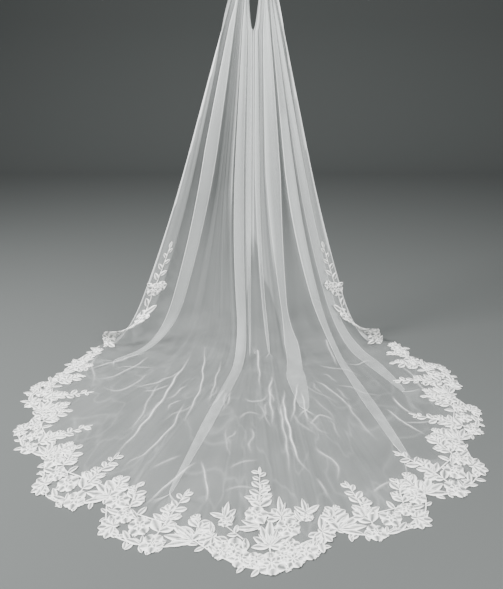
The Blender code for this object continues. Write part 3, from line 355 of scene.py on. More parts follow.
def turned_edge(u, side, g, point):
    """Roll the strip outside EDGE_U forwards round its own fold line, as an arc and then a flat."""
    line, normal = sheet_frame(np.full_like(u, EDGE_U * side), side, g)
    away = point - line
    distance = np.maximum(np.linalg.norm(away, axis=-1), 1e-9)
    outwards = away / distance[..., None]
    reach = np.clip(g, 0, 1) * BEND_DROP + np.clip(g - 1, 0, 1) * (DROP - BEND_DROP)
    fading = 1 - smooth((reach - TURN_ENDS) / TURN_FADES)
    angle = EDGE_ANGLE * smooth((reach - TURN_STARTS) / TURN_GROWS) * fading
    bent = np.minimum(distance / EDGE_TURN, angle)
    rest = np.maximum(distance - angle * EDGE_TURN, 0)
    lateral = EDGE_TURN * np.sin(bent) + rest * np.cos(angle)
    raised = EDGE_TURN * (1 - np.cos(bent)) + rest * np.sin(angle)
    turned = line + outwards * lateral[..., None] + normal * raised[..., None]
    strip = abs(u) > EDGE_U
    on_turn = strip * (distance < EDGE_TURN * 3.5) * smooth(angle / 1.2)
    return np.where(strip[..., None], turned, point), on_turn


# %% [markdown]
# ## Gathers and creases
# Above, the gathers run down from the comb as fine uneven pleats that open out on the way down. On
# the floor the net keeps sharp thin creases where it was folded away. Each crease is a short line
# that was placed over the picture. It is carried down to the floor along the camera's own
# line of sight, so the camera is settled first.

# %% Camera values
EYE = np.array([-0.015, -2.970, -0.290])
PITCH = math.radians(22)
IMAGE_WIDTH, IMAGE_HEIGHT, FOCAL = 503, 589, 650.0  # all in pixels of the picture


def floor_under(px, py):
    """Point of the floor under a picture place: the eye's ray, cut with the floor's plane."""
    right = (px - IMAGE_WIDTH / 2) / FOCAL
    down = (py - IMAGE_HEIGHT / 2) / FOCAL
    ray_y = math.cos(PITCH) - down * math.sin(PITCH)
    ray_z = -math.sin(PITCH) - down * math.cos(PITCH)
    reach = (-DROP - EYE[2]) / ray_z
    return EYE[0] + right * reach, EYE[1] + ray_y * reach


print("floor in the middle of the view", floor_under(IMAGE_WIDTH / 2, IMAGE_HEIGHT / 2))

# %% Creases on the train
CREASES = (
    # height and half_width in metres, strength, then the picture places it runs through
    (0.0050, 0.012, 0.70, (192, 355), (181, 372), (166, 395), (147, 422), (124, 446), (105, 468)),
    (0.0050, 0.010, 0.60, (205, 352), (203, 377), (195, 403), (188, 416), (182, 429)),
    (0.0035, 0.010, 0.38, (222, 362), (214, 388), (206, 408)),
    (0.0045, 0.011, 0.45, (186, 400), (174, 425), (160, 440), (146, 455), (130, 462), (118, 476)),
    (0.0040, 0.011, 0.50, (152, 352), (138, 356), (125, 361), (104, 366), (84, 372)),
    (0.0040, 0.011, 0.42, (150, 356), (140, 364), (128, 371), (112, 378), (94, 380)),
    (0.0030, 0.013, 0.30, (150, 372), (132, 386), (116, 392), (100, 386)),
    (0.0030, 0.014, 0.25, (98, 352), (92, 366), (95, 378), (90, 388)),
    (0.0035, 0.012, 0.30, (162, 380), (150, 400), (136, 424), (120, 436)),
    (0.0045, 0.011, 0.50, (199, 462), (180, 478), (158, 494), (140, 509)),
    (0.0045, 0.011, 0.50, (202, 460), (205, 474), (207, 490), (204, 508)),
    (0.0045, 0.011, 0.50, (253, 346), (257, 362), (260, 378), (260, 391)),
    (0.0030, 0.014, 0.26, (243, 398), (252, 403), (261, 402), (267, 394)),
    (0.0045, 0.013, 0.50, (273, 372), (270, 390), (271, 408), (272, 424), (276, 432)),
    (0.0055, 0.012, 0.72, (283, 388), (285, 410), (290, 436), (300, 462), (314, 480)),
    (0.0045, 0.012, 0.42, (281, 400), (283, 430), (288, 456), (291, 478)),
    (0.0040, 0.010, 0.50, (300, 382), (295, 402), (291, 426)),
    (0.0040, 0.010, 0.50, (302, 392), (304, 408), (307, 424)),
    (0.0035, 0.013, 0.38, (312, 380), (326, 388), (344, 402), (360, 414)),
    (0.0040, 0.013, 0.34, (308, 426), (314, 421), (320, 417), (328, 419), (336, 424)),
    (0.0035, 0.014, 0.32, (312, 446), (322, 455), (333, 462), (340, 470), (336, 484)),
    (0.0035, 0.014, 0.30, (316, 478), (322, 488), (330, 500)),
    (0.0035, 0.014, 0.26, (346, 398), (354, 414), (366, 430), (380, 444)),
    (0.0035, 0.013, 0.34, (322, 346), (332, 358), (338, 368)),
    (0.0045, 0.011, 0.60, (393, 396), (398, 406), (408, 413), (418, 414)),
    (0.0045, 0.011, 0.50, (384, 408), (396, 420), (414, 430), (432, 438)),
    (0.0035, 0.012, 0.36, (394, 362), (410, 374), (424, 392), (436, 412)),
    (0.0035, 0.012, 0.34, (400, 424), (420, 424), (440, 420)),
    (0.0035, 0.013, 0.34, (372, 494), (384, 486), (396, 480)),
    (0.0030, 0.016, 0.22, (228, 470), (244, 463), (262, 461)),
    (0.0030, 0.016, 0.20, (222, 492), (242, 488), (264, 493)),
    (0.0030, 0.016, 0.22, (238, 420), (250, 414), (262, 417)),
    (0.0030, 0.016, 0.22, (150, 470), (166, 462), (184, 455)),
)
CREASE_BELL = 1.4  # half the width of the bell under a crease, in half widths of its line


def creases_at(points, g):
    """Lift of the sheet under every crease: a soft bell across its polyline that fades at its ends."""
    lift = np.zeros(g.shape)
    flat = points[..., :2]
    for height, half_width, _, *places in CREASES:
        line = np.array([floor_under(*place) for place in places])
        lengths = np.linalg.norm(np.diff(line, axis=0), axis=-1)
        total, passed = lengths.sum(), 0.0
        nearest, where = np.full(g.shape, np.inf), np.zeros(g.shape)
        for start, end, length in zip(line, line[1:], lengths):
            along = (end - start) / length
            away = flat - start
            t = np.clip(away @ along, 0, length)
            distance = np.hypot(away @ np.array([-along[1], along[0]]), away @ along - t)
            closer = distance < nearest
            nearest = np.where(closer, distance, nearest)
            where = np.where(closer, (t + passed) / total, where)
            passed += length
        fade = smooth(where / 0.25) * smooth((1 - where) / 0.3) * smooth((g - 1.5) / 0.3)
        lift += height * fade / (1 + (nearest / (half_width * CREASE_BELL)) ** 2) ** 2
    return lift


# %% Gathers under the comb
PLEATS = (
    # waves, phase, drop_where_it_fades
    (23, 0.4, 1.3),
    (37, 2.1, 0.9),
    (61, 4.0, 0.7),
    (97, 1.2, 0.5),
)
PLEAT_HEIGHT = 0.0045
PLEAT_BEND = 0.4  # length that the bend onto the floor counts for


def gathers_at(u, g):
    """Lift and streaks of the pleats from the comb: uneven waves in u that fade with the drop."""
    drop = np.clip(g, 0, 1) * BEND_DROP + np.clip(g - 1, 0, 1) * PLEAT_BEND
    waves, streaks = np.zeros_like(u), np.zeros_like(u)
    for k, (turns, phase, fades) in enumerate(PLEATS):
        bend = 1.3 * np.sin(5 * u + k) + 0.5 * drop * np.sin(9 * u + k)
        wave = np.sin(turns * u * np.pi + phase + bend)
        fading = np.exp(-((drop / fades) ** 2))
        waves += wave * fading / (k + 1.5)
        streaks += np.maximum(wave, 0) ** 6 * fading * (1 + 0.8 * np.sin(13 * u + 2 * k))
    tall = PLEAT_HEIGHT * smooth(drop / 0.15) * np.clip(drop / 0.35, 0.15, 1)
    return waves * tall, np.clip(streaks, 0, 1.5)


# %% [markdown]
# The pleats are pressed closest where the top is gathered, down the middle column, in the wide band
# on the right and along the two side edges. There the net lies several times thicker than one
# layer. Each row of THICK gives such a stretch of threads. The rows of LINES are single bright
# lines, each the turn of a narrow fold. Reach is the length down a thread from the comb.

# %% Thickness of the net
THICK = (
    # u_from, u_to, reach_from, reach_to, strength
    (-0.47, -0.38, 0.00, 1.20, 0.06),
    (-0.25, 0.00, 0.02, 1.80, 0.11),
    (0.00, 0.27, 0.02, 1.80, 0.11),
    (0.43, 0.80, 0.10, 1.74, 0.07),
    (-1.00, -0.93, 0.30, 1.60, 0.05),
    (0.93, 1.00, 0.30, 1.60, 0.07),
)
LINES = (
    # u, reach_from, reach_to, strength, half_width
    (0.000, 0.27, 1.32, 0.50, 0.013),
    (-0.400, 0.10, 1.10, 0.24, 0.009),
    (0.215, 0.10, 1.40, 0.26, 0.009),
    (0.440, 0.60, 1.60, 0.20, 0.009),
)
COMB_THICK, COMB_FADES = 0.18, 0.40  # how much more is hidden at the comb, and the reach it fades over
BAND = 0.018  # how much more is hidden in a large fold
PARTING = 0.20  # half the spread of u where the middle column has parted into two, above the floor
BEND_LENGTH = 0.24  # length of a thread in its bend
MOST_THICK = 0.8  # the most that all of these add to one layer


def thickness_at(u, g):
    """How much more than one layer hides: near the comb, in the THICK stretches and on LINES. A
    stretch that starts or ends at the middle thread follows the column as it parts."""
    reach = np.clip(g, 0, 1) * BEND_DROP + np.clip(g - 1, 0, 1) * BEND_LENGTH + np.clip(g - 2, 0, 1)
    more = COMB_THICK * np.exp(-((reach / COMB_FADES) ** 2))
    parting = PARTING * smooth((reach - 1.10) / 0.50)
    for low, high, start, end, strength in THICK:
        low = parting if low == 0 else low
        high = -parting if high == 0 else high
        here = smooth((u - low) / 0.012) * smooth((high - u) / 0.012)
        more += strength * here * smooth((reach - start) / 0.12) * smooth((end - reach) / 0.25)
    for centre, half, *_, end, _, drift in FOLDS:
        place = abs(u - centre - drift * drifting(g)) / half
        more += BAND * smooth((0.80 - place) / 0.06) * smooth((2 + end - g) / 0.15)
    for place, start, end, strength, half_width in LINES:
        here = np.exp(-(((u - place) / half_width) ** 2))
        more += strength * here * smooth((reach - start) / 0.06) * smooth((end - reach) / 0.20)
    return np.clip(more, 0, MOST_THICK)


# %% [markdown]
# ## The tulle sheet
# The sheet is a grid of u and g with all of these effects, one half at a time, because the free top
# edge parts the halves above the dip. Four values are kept at each point for the material: how
# sharply the cloth is creased there, how closely it is gathered, how much thicker than one layer it
# is, and the thread's flat place. The other pieces are grids too, so the mesh helpers come first.

# %% Meshes from arrays


def grid_quads(index):
    """The faces of a grid from the numbers of its points: each square between four neighbours."""
    return np.stack([index[:-1, :-1], index[1:, :-1], index[1:, 1:], index[:-1, 1:]], -1).reshape(-1, 4)


def new_mesh(name, vertices, faces):
    """A smooth mesh object at the origin from arrays of points and of faces of one size."""
    mesh = bpy.data.meshes.new(name)
    faces = np.asarray(faces, dtype=np.int32)
    mesh.vertices.add(len(vertices))
    mesh.vertices.foreach_set("co", np.asarray(vertices, dtype=np.float32).ravel())
    mesh.loops.add(faces.size)
    mesh.loops.foreach_set("vertex_index", faces.ravel())
    mesh.polygons.add(len(faces))
    mesh.polygons.foreach_set("loop_start", np.arange(0, faces.size, faces.shape[1], dtype=np.int32))
    mesh.polygons.foreach_set("use_smooth", np.full(len(faces), True))
    mesh.update(calc_edges=True)
    mesh.validate()
    thing = bpy.data.objects.new(name, mesh)
    bpy.context.scene.collection.objects.link(thing)
    return thing


def keep_values(thing, name, values):
    """One number for each point of a mesh, which its material reads as an attribute."""
    attribute = thing.data.attributes.new(name, "FLOAT", "POINT")
    attribute.data.foreach_set("value", values)


def facing_out(points, quads, way, each=False):
    """Quads turned to face along way: all together, or each by itself."""
    a, b, c = (points[quads[:, k]] for k in range(3))
    facing = (np.cross(b - a, c - a) * way).sum(-1)
    if each:
        return np.where(facing[:, None] > 0, quads, quads[:, ::-1])
    return quads if facing.sum() > 0 else quads[:, ::-1]


# %% Columns and rows of the sheet
# shares of the turned strip, steps in u beside a bright line, and drops close to the dip's end
EDGE_COLUMNS = np.array([0, 0.04, 0.08, 0.12, 0.17, 0.22, 0.28, 0.36, 0.5, 0.65, 0.8, 1])
LINE_COLUMNS = np.array([-0.018, -0.009, 0, 0.009, 0.018])
DIP_ROWS = np.array([0.255, 0.265, 0.273, 0.279, 0.283, 0.285, 0.287, 0.295])
CLOSEST_COLUMNS = 0.0012  # a column nearer than this to the one before is left out
EVEN_COLUMNS, FOLD_COLUMNS = 76, 46  # columns of one half, and more of them in each large fold
HANGING_ROWS, BEND_ROWS, FLOOR_ROWS = 70, 31, 92


def column_places(side):
    """u of the columns: an even spread, with more at every fold's turns and at the turned edge."""
    wanted = [np.linspace(0, EDGE_U, EVEN_COLUMNS)]
    for line, *_ in LINES:
        if line * side >= 0:
            wanted.append(np.abs(line + LINE_COLUMNS))
    for centre, half, *_ in FOLDS:
        if centre * side > 0:
            wanted.append(abs(centre) + half * np.linspace(-1, 1, FOLD_COLUMNS))
    wanted.append(EDGE_U + (1 - EDGE_U) * EDGE_COLUMNS)
    values = np.unique(np.round(np.concatenate(wanted), 5))
    keep = np.concatenate([[True], np.diff(values) > CLOSEST_COLUMNS])
    return side * values[keep]


def row_places():
    """g of the rows: the hanging part, the bend and the floor."""
    hanging = np.unique(np.concatenate([np.linspace(0, 1, HANGING_ROWS), DIP_ROWS / BEND_DROP]))
    bend, floor = 1 + np.linspace(0, 1, BEND_ROWS)[1:], 2 + np.linspace(0, 1, FLOOR_ROWS)[1:]
    return np.concatenate([hanging, bend, floor])


def with_folds(u, side, g):
    """Columns moved along with the folds that drift, so that each turn keeps to its column."""
    moved = u.copy()
    for centre, half, *_, drift in FOLDS:
        if centre * side > 0:
            moved += drift * drifting(g) * np.clip(2 - abs(u - centre) / half, 0, 1)
    return moved


# %% The dressed sheet
RIPPLE = 0.0016  # half the height of the ripples that the train keeps
LOWEST = -DROP + 0.0004  # no part of the cloth lies lower
THREAD_SCALE = (1.6, 1.0)  # stretches u against g for the noises of the tulle's material


def cloth_point(u, side, g):
    """The dressed sheet: fold, gather, crease and turned edge, and how creased it is there."""
    lies_at, lift, edge = folded(u, side, g)
    waves, streaks = gathers_at(u, g)
    point, normal = sheet_frame(lies_at, side, g)
    crease_lift = creases_at(point, g)
    still = smooth((EDGE_U + 0.06 - abs(u)) / 0.06)
    near_hem = smooth((3 - g) / 0.10)
    uneven = 1 + np.sin(26 * u + 4 * g) * np.sin(7 * g + 9 * u)
    ripple = RIPPLE * uneven * smooth((g - 1.8) / 0.4)
    lift = lift + (waves * still + crease_lift + ripple) * near_hem
    point = point + normal * lift[..., None]
    point, on_turn = turned_edge(u, side, g, point)
    point[..., 2] = np.maximum(point[..., 2], LOWEST)
    creased = np.clip(np.maximum(edge, on_turn * 0.9), 0, 1)
    return point, creased, np.clip(streaks, 0, 1)


def make_tulle():
    """Both halves as one mesh: their middle columns are welded below the dip."""
    g = row_places()
    vertices, creased, gathered, thick, flat, faces = [], [], [], [], [], []
    first = 0
    middle = {}
    for side in (-1, 1):
        u = column_places(side)
        u = u[::-1] if side < 0 else u
        grid_u, grid_g = np.meshgrid(u, g)
        grid_u = with_folds(grid_u, side, grid_g)
        point, crease, streak = cloth_point(grid_u, side, grid_g)
        index = first + np.arange(grid_u.size).reshape(grid_u.shape)
        middle[side] = index[:, -1 if side < 0 else 0]
        vertices.append(point.reshape(-1, 3))
        creased.append(crease.ravel())
        gathered.append(streak.ravel())
        thick.append(thickness_at(grid_u, grid_g).ravel())
        flat.append(np.stack([grid_u.ravel(), grid_g.ravel()], -1))
        faces.append(grid_quads(index))
        first += grid_u.size
    vertices = np.concatenate(vertices)
    faces = np.concatenate(faces)
    whole = g * BEND_DROP >= DIP[-1][0]
    weld = np.arange(len(vertices))
    weld[middle[1][whole]] = middle[-1][whole]
    vertices[middle[-1][whole]] = (vertices[middle[-1][whole]] + vertices[middle[1][whole]]) / 2
    used, compact = np.unique(weld, return_inverse=True)
    tulle = new_mesh("veil_tulle", vertices[used], compact[faces])
    for name, values in (("creased", creased), ("gathered", gathered), ("thick", thick)):
        keep_values(tulle, name, np.concatenate(values)[used])
    attribute = tulle.data.attributes.new("thread", "FLOAT_VECTOR", "POINT")
    thread = np.concatenate(flat)[used] * THREAD_SCALE
    attribute.data.foreach_set("vector", np.column_stack([thread, np.zeros(len(thread))]).ravel())
    return tulle


tulle = make_tulle()
print("tulle faces", len(tulle.data.polygons))

# %% [markdown]
# Where the train was folded away, the net keeps a pinched line. Each one is a thin ridge laid over
# the sheet: a strip that rises to a sharp line and fades out at its two ends and its sides. It looks
# steep on one side and soft on the other because a soft shoulder of painted light lies beside the
# line on one side only. The clear ones are listed one by one. Many faint ones between them are drawn
# by chance and fan out from the foot of the middle column.

# %% Rows of faint creases
FAINT_COUNT, FAINT_HEIGHT = 30, 0.0028
FAN_X, FAN_Y, FAN_FLAT = 255, 352, 0.66  # picture place of the fan's centre, and how flat it is seen


def faint_creases():
    """Many faint short creases as rows like those of CREASES. They fan out from the column's foot."""
    chance = np.random.default_rng(11)
    rows = []
    for k in range(FAINT_COUNT):
        angle = math.radians(12 + 156 * (k + chance.uniform(0, 1)) / FAINT_COUNT)
        reach, length = chance.uniform(55, 125), chance.uniform(18, 52)
        bend = math.radians(chance.uniform(-6, 6))
        places = []
        for share in (0, 0.33, 0.66, 1):
            r = reach + length * share
            a = angle + bend * share + 0.02 * math.sin(7 * share + k)
            places.append((FAN_X + r * math.cos(a), FAN_Y + FAN_FLAT * r * math.sin(a)))
        half_width, strength = chance.uniform(0.010, 0.015), chance.uniform(0.16, 0.34)
        rows.append((FAINT_HEIGHT, half_width, strength, *places))
    return rows


# %% Height of the sheet under a crease
MAP_CELL, MAP_CELLS = 0.012, 200  # side of a square of the height map, and their number each way
MAP_ZERO = (100, 150)  # the square that starts at x = 0, y = 0
MAP_HIGHEST = -DROP + 0.08  # what is higher doesn't lie on the floor


def sheet_top(points):
    """Function that gives the sheet's highest point near each place of a path on the floor, from a
    coarse map: the largest z in each square."""

    def squares(places):
        return tuple((np.clip(np.floor(places / MAP_CELL).astype(int) + MAP_ZERO, 0, MAP_CELLS - 1)).T)

    low = points[points[:, 2] < MAP_HIGHEST]
    top = np.full((MAP_CELLS, MAP_CELLS), FLOOR_Z)
    np.maximum.at(top, squares(low[:, :2]), low[:, 2])
    return lambda path: top[squares(path)]


# %% Pinched creases
ACROSS_CREASE = np.array([-1, -0.5, -0.2, -0.07, 0.07, 0.2, 0.5, 1])
CREASE_STEP = 0.007  # length of a strip's faces
CREASE_CLEAR = 0.0008  # how far a strip lies above the sheet
SMOOTHED = 9  # how many neighbours its height is the mean of


def make_creases():
    """All pinched lines as one mesh of strips over the tulle."""
    points = np.empty(len(tulle.data.vertices) * 3)
    tulle.data.vertices.foreach_get("co", points)
    top_at = sheet_top(points.reshape(-1, 3))
    vertices, cover_and_painted_light, faces, first = [], [], [], 0
    for number, (height, half_width, strength, *places) in enumerate([*CREASES, *faint_creases()]):
        line = np.array([floor_under(*place) for place in places])
        passed = np.concatenate([[0], np.cumsum(np.linalg.norm(np.diff(line, axis=0), axis=-1))])
        table = [(t, x, y) for t, (x, y) in zip(passed, line)]
        t = np.linspace(0, passed[-1], max(int(passed[-1] / CREASE_STEP), 8))
        path = np.stack([curve(t, table, 1), curve(t, table, 2)], -1)
        path[:, 0] += 0.0022 * np.sin(t * 47 + number * 1.7) + 0.0030 * np.sin(t * 19 + number)
        ahead = unit(np.gradient(path, axis=0))
        sideways = np.stack([-ahead[:, 1], ahead[:, 0]], -1) * (1 if number % 2 else -1)
        ends = smooth(t / passed[-1] / 0.3) * smooth((1 - t / passed[-1]) / 0.4)
        v = ACROSS_CREASE[None, :]
        spot = path[:, None] + sideways[:, None] * (half_width * v)[..., None]
        under = np.pad(top_at(path), SMOOTHED // 2, mode="edge")
        base = np.convolve(under, np.ones(SMOOTHED) / SMOOTHED, "valid")
        z = base[:, None] + CREASE_CLEAR + height * ends[:, None] * (1 - abs(v)) ** 1.6
        # Cover of the pinched net along the line, and a soft shoulder of painted light beside it on one
        # side.
        line_part = np.exp(-((v / 0.24) ** 2)) * 0.75
        painted_lit_shoulder = np.where(v > 0, 0.30 * (1 - v), 0.16 * (1 + v))
        vertices.append(np.concatenate([spot, z[..., None]], -1).reshape(-1, 3))
        cover_and_painted_light.append((strength * ends[:, None] * (line_part + painted_lit_shoulder) * (abs(v) < 1)).ravel())
        index = first + np.arange(z.size).reshape(z.shape)
        faces.append(grid_quads(index))
        first += z.size
    vertices, faces = np.concatenate(vertices), np.concatenate(faces)
    strips = new_mesh("veil_creases", vertices, facing_out(vertices, faces, UP, each=True))
    keep_values(strips, "creased", np.concatenate(cover_and_painted_light))
    return strips


creases = make_creases()
print("crease faces", len(creases.data.polygons))

# %% [markdown]
# ## Lace: petals, leaves and cords
# Corded lace is embroidered on net. Each petal or leaf is filled with satin stitch, so it swells in
# its middle, has a sunken vein, and is rimmed by a thicker cord. One small grid gives all of them:
# t runs from the base to the tip and v from side to side, and only the outline and the height
# change. Every shape is made in the flat chart of its motif and then laid on the cloth. A generator
# with a fixed seed makes them uneven, so the lace is the same each time.

# %% One stitched blade
random = np.random.default_rng(7)
KNOT_HEIGHT = 0.0030


def blade(length, width, tip=1.0, height=0.0026, ruffle=0.0, point=0.75):
    """Petal or leaf from the origin along +x. Half width = width/2 sin(pi t^tip)^point, height = dome
    minus a vein in the middle plus a cord at the rim. Returns points, quads and each point's tone:
    brighter towards the rim, with painted shade in the vein and at the base."""
    t = np.linspace(0, 1, 7)
    v = np.array([-1, -0.86, -0.45, -0.12, 0.12, 0.45, 0.86, 1])
    grid_t, grid_v = np.meshgrid(t, v, indexing="ij")
    half = width / 2 * np.sin(np.pi * np.clip(grid_t, 0.02, 0.985) ** tip) ** point
    wave = 1 + ruffle * np.sin(grid_t * 19) * abs(grid_v) ** 3
    y = half * grid_v * wave
    dome = (1 - grid_v**2) ** 0.5 * 0.75
    rim = np.exp(-(((abs(grid_v) - 0.86) / 0.1) ** 2))
    vein = np.exp(-((grid_v / 0.2) ** 2))
    z = height * (dome + 0.35 * rim - 0.45 * vein * smooth((0.95 - grid_t) / 0.3))
    z *= np.minimum(1, 0.35 + np.sin(np.pi * np.clip(grid_t, 0, 1)) ** 0.5)
    z[:, [0, -1]] = 0
    points = np.stack([grid_t * length, y, z], -1).reshape(-1, 3)
    index = np.arange(grid_t.size).reshape(grid_t.shape)
    outer = smooth((abs(grid_v) - 0.35) / 0.5)
    base = smooth(grid_t / 0.35)
    # Tone with painted shade: darker along the sunken vein and at the base, brighter towards the denser
    # rim, with a random tone for each blade.
    tone_with_painted_shade = np.clip(random.uniform(0.12, 0.30) + 0.62 * outer + 0.25 * base - 0.40 * vein, 0, 1)
    return points, grid_quads(index), tone_with_painted_shade.ravel()


def knot(radius):
    """Small round stitch: a dome of three rings, each smaller and higher, with a flat top."""
    turns = np.linspace(0, 2 * np.pi, 7)[:-1]
    heights = ((radius, 0.0), (radius * 0.75, KNOT_HEIGHT * 0.7), (radius * 0.25, KNOT_HEIGHT))
    rings = [np.stack([r * np.cos(turns), r * np.sin(turns), np.full(6, z)], -1) for r, z in heights]
    points = np.concatenate(rings)
    index = np.arange(18).reshape(3, 6)
    after = np.roll(index, -1, axis=1)
    quads = np.stack([index[:-1], after[:-1], after[1:], index[1:]], -1).reshape(-1, 4)
    top = np.array([[12, 13, 14, 15], [12, 15, 16, 17]])
    return points, np.concatenate([quads, top]), np.full(18, 0.9)


def turned(shape, x, y, heading, lift=0.0):
    """The shape turned to a heading in degrees, moved to x, y and lifted."""
    points, quads, tone_with_painted_shade = shape
    c, s = math.cos(math.radians(heading)), math.sin(math.radians(heading))
    turn = np.array([[c, s, 0], [-s, c, 0], [0, 0, 1]])
    return points @ turn + (x, y, lift), quads, tone_with_painted_shade


def step_from(x, y, heading, reach):
    """The place a reach away from x, y at a heading in degrees."""
    return x + reach * math.cos(math.radians(heading)), y + reach * math.sin(math.radians(heading))


# %% [markdown]
# A flower has four collar leaves under a ring of broad petals, a smaller ring between them and a
# cluster of knots. A ruffled half flower opens to one side. Both are blades turned about a point.
# A petal is short and blunt, and a leaf long and pointed, so only the numbers given to blade differ.

# %% Flowers


def flower(x, y, heading, radius, petals):
    """Open flower: four collar leaves, an outer ring, an inner ring half a step round, and knots."""
    parts = []
    for k in range(4):
        turn = heading + 45 + 90 * k + random.uniform(-30, 30)
        collar = blade(radius * random.uniform(1.02, 1.20), radius * 0.66, tip=1.2, point=0.6)
        parts.append(turned(collar, x, y, turn, -0.0004))
    for k in range(petals):
        turn = heading + 360 * k / petals + random.uniform(-5, 5)
        size = radius * random.uniform(0.94, 1.08)
        petal = blade(size, size * 0.98, tip=1.6, height=0.0040, ruffle=0.10, point=0.45)
        parts.append(turned(petal, x, y, turn, 0.0003 * (k % 2)))
        small = blade(size * 0.52, size * 0.46, tip=1.5, height=0.0032, point=0.5)
        parts.append(turned(small, x, y, turn + 180 / petals, 0.0022))
    for k in range(6):
        turn = math.radians(60 * k + heading)
        reach = radius * 0.17 if k else 0.0
        at = x + reach * math.cos(turn), y + reach * math.sin(turn)
        parts.append(turned(knot(radius * 0.075), *at, 0, 0.0032))
    return parts


def half_flower(x, y, heading, radius, lobes):
    """Ruffled half flower: a back row of long petals, a front row of short ones and a cup."""
    parts = []
    rows = ((2 * lobes + 1, 1.06, 0.0), (lobes + 1, 0.68, 0.0016))
    for row, (count, reach, lift) in enumerate(rows):
        for k in range(count):
            turn = heading + 105 * (1 - 2 * k / (count - 1)) * (1 - 0.2 * row)
            size = radius * reach * random.uniform(0.95, 1.06)
            petal = blade(size, size * 0.55, tip=1.6, height=0.0030, ruffle=0.16)
            parts.append(turned(petal, x, y, turn, lift + 0.0002 * (k % 2)))
    cup = blade(radius * 0.5, radius * 0.34, height=0.0032)
    parts.append(turned(cup, *step_from(x, y, heading + 180, radius * 0.38), heading, 0.0024))
    return parts


def bud(x, y, heading, size, _):
    """Bud: three short petals that lean 40 degrees apart."""
    parts = []
    for lean in (-40, 0, 40):
        petal = blade(size * 1.5, size * 1.1, tip=1.1)
        parts.append(turned(petal, *step_from(x, y, heading + lean, -size * 0.6), heading + lean))
    return parts


# %% [markdown]
# A spray is a thin stalk with leaves that stand to either side in turn and shrink towards its tip,
# with a few second leaves and small cups of three petals between them. Large leaves are doubled: a
# narrower blade lies over the broad one.

# %% Stalks, sprays and leaves
DOUBLED_LEAF = 0.05  # leaves longer than this are doubled


def stalk(x, y, heading, length, width):
    """Cord with a round back: a narrow straight blade that tapers to half its width."""
    t = np.linspace(0, 1, 9)
    v = np.array([-1, -0.6, 0, 0.6, 1])
    grid_t, grid_v = np.meshgrid(t, v, indexing="ij")
    half = width / 2 * (1 - 0.5 * grid_t)
    z = 0.0022 * np.sqrt(np.maximum(1 - grid_v**2, 0)) + 0.0002
    points = np.stack([grid_t * length, half * grid_v, z], -1).reshape(-1, 3)
    index = np.arange(grid_t.size).reshape(grid_t.shape)
    return [turned((points, grid_quads(index), np.full(len(points), 0.8)), x, y, heading)]


def spray(x, y, heading, length, pairs):
    """Leafy stalk: leaves to either side in turn, second leaves, cups, and a leaf at the tip."""
    parts = stalk(x, y, heading, length * 0.92, 0.0042)
    count = int(1.6 * pairs) + 2
    for k in range(count):
        share = k / (count - 1)
        base = step_from(x, y, heading, length * (0.08 + 0.76 * share))
        size = (0.058 - 0.027 * share) * random.uniform(0.80, 1.20)
        way = 1 if k % 2 else -1
        leaf_shape = blade(size, size * 0.60, tip=1.15, height=0.0034, ruffle=0.08)
        parts.append(turned(leaf_shape, *base, heading + way * random.uniform(28, 72), 0.0004))
        if k in (0, 3):
            second = blade(size * 0.8, size * 0.5, tip=1.2)
            parts.append(turned(second, *base, heading - way * 50, 0.0012))
        if k in (1, 4):
            cup_at = step_from(*base, heading + way * 55, size * 0.25)
            for lean in (-44, 0, 44):
                cup = blade(size * 0.62, size * 0.44, tip=1.4, height=0.0036, point=0.5)
                parts.append(turned(cup, *cup_at, heading + way * 40 + lean, 0.0020))
    tip = step_from(x, y, heading, length * 0.80)
    last_leaf = blade(length * 0.20, 0.012, tip=0.9)
    parts.append(turned(last_leaf, *tip, heading + random.uniform(-8, 8), 0.0006))
    return parts


def leaf_shapes(x, y, heading, length, width):
    """Lace leaf: a broad blade, and for a large one a second narrower blade that overlaps it."""
    broad = blade(length, width * 1.15, tip=0.85, height=0.0032, ruffle=0.06)
    parts = [turned(broad, x, y, heading, random.uniform(0, 0.0008))]
    if length > DOUBLED_LEAF:
        side = random.choice((-1, 1))
        narrow = blade(length * 0.66, width * 0.55, tip=0.9)
        parts.append(turned(narrow, x, y, heading + side * 17, 0.0014))
    return parts


# %% Shapes of a table
MAKERS = {
    "leaf": leaf_shapes,
    "bloom": flower,
    "fan": half_flower,
    "bud": bud,
    "stem": stalk,
    "sprig": spray,
}


def shapes_of(table):
    """All shapes of a lace table, in its chart."""
    parts = []
    for kind, *row in table:
        parts += MAKERS[kind](*row)
    return parts


# %% [markdown]
# ## Lace tables
# The same motif repeats along the hem, mirrored on the other side of the middle. A row gives the
# kind, the place along the chord and inwards from it, the heading, the size, and what is left to
# say: the width of a leaf or stem, the petals of a flower, or how leafy a spray is. Each hem chart
# has its own chord and depth, and is stretched to the scallop that it is laid on.

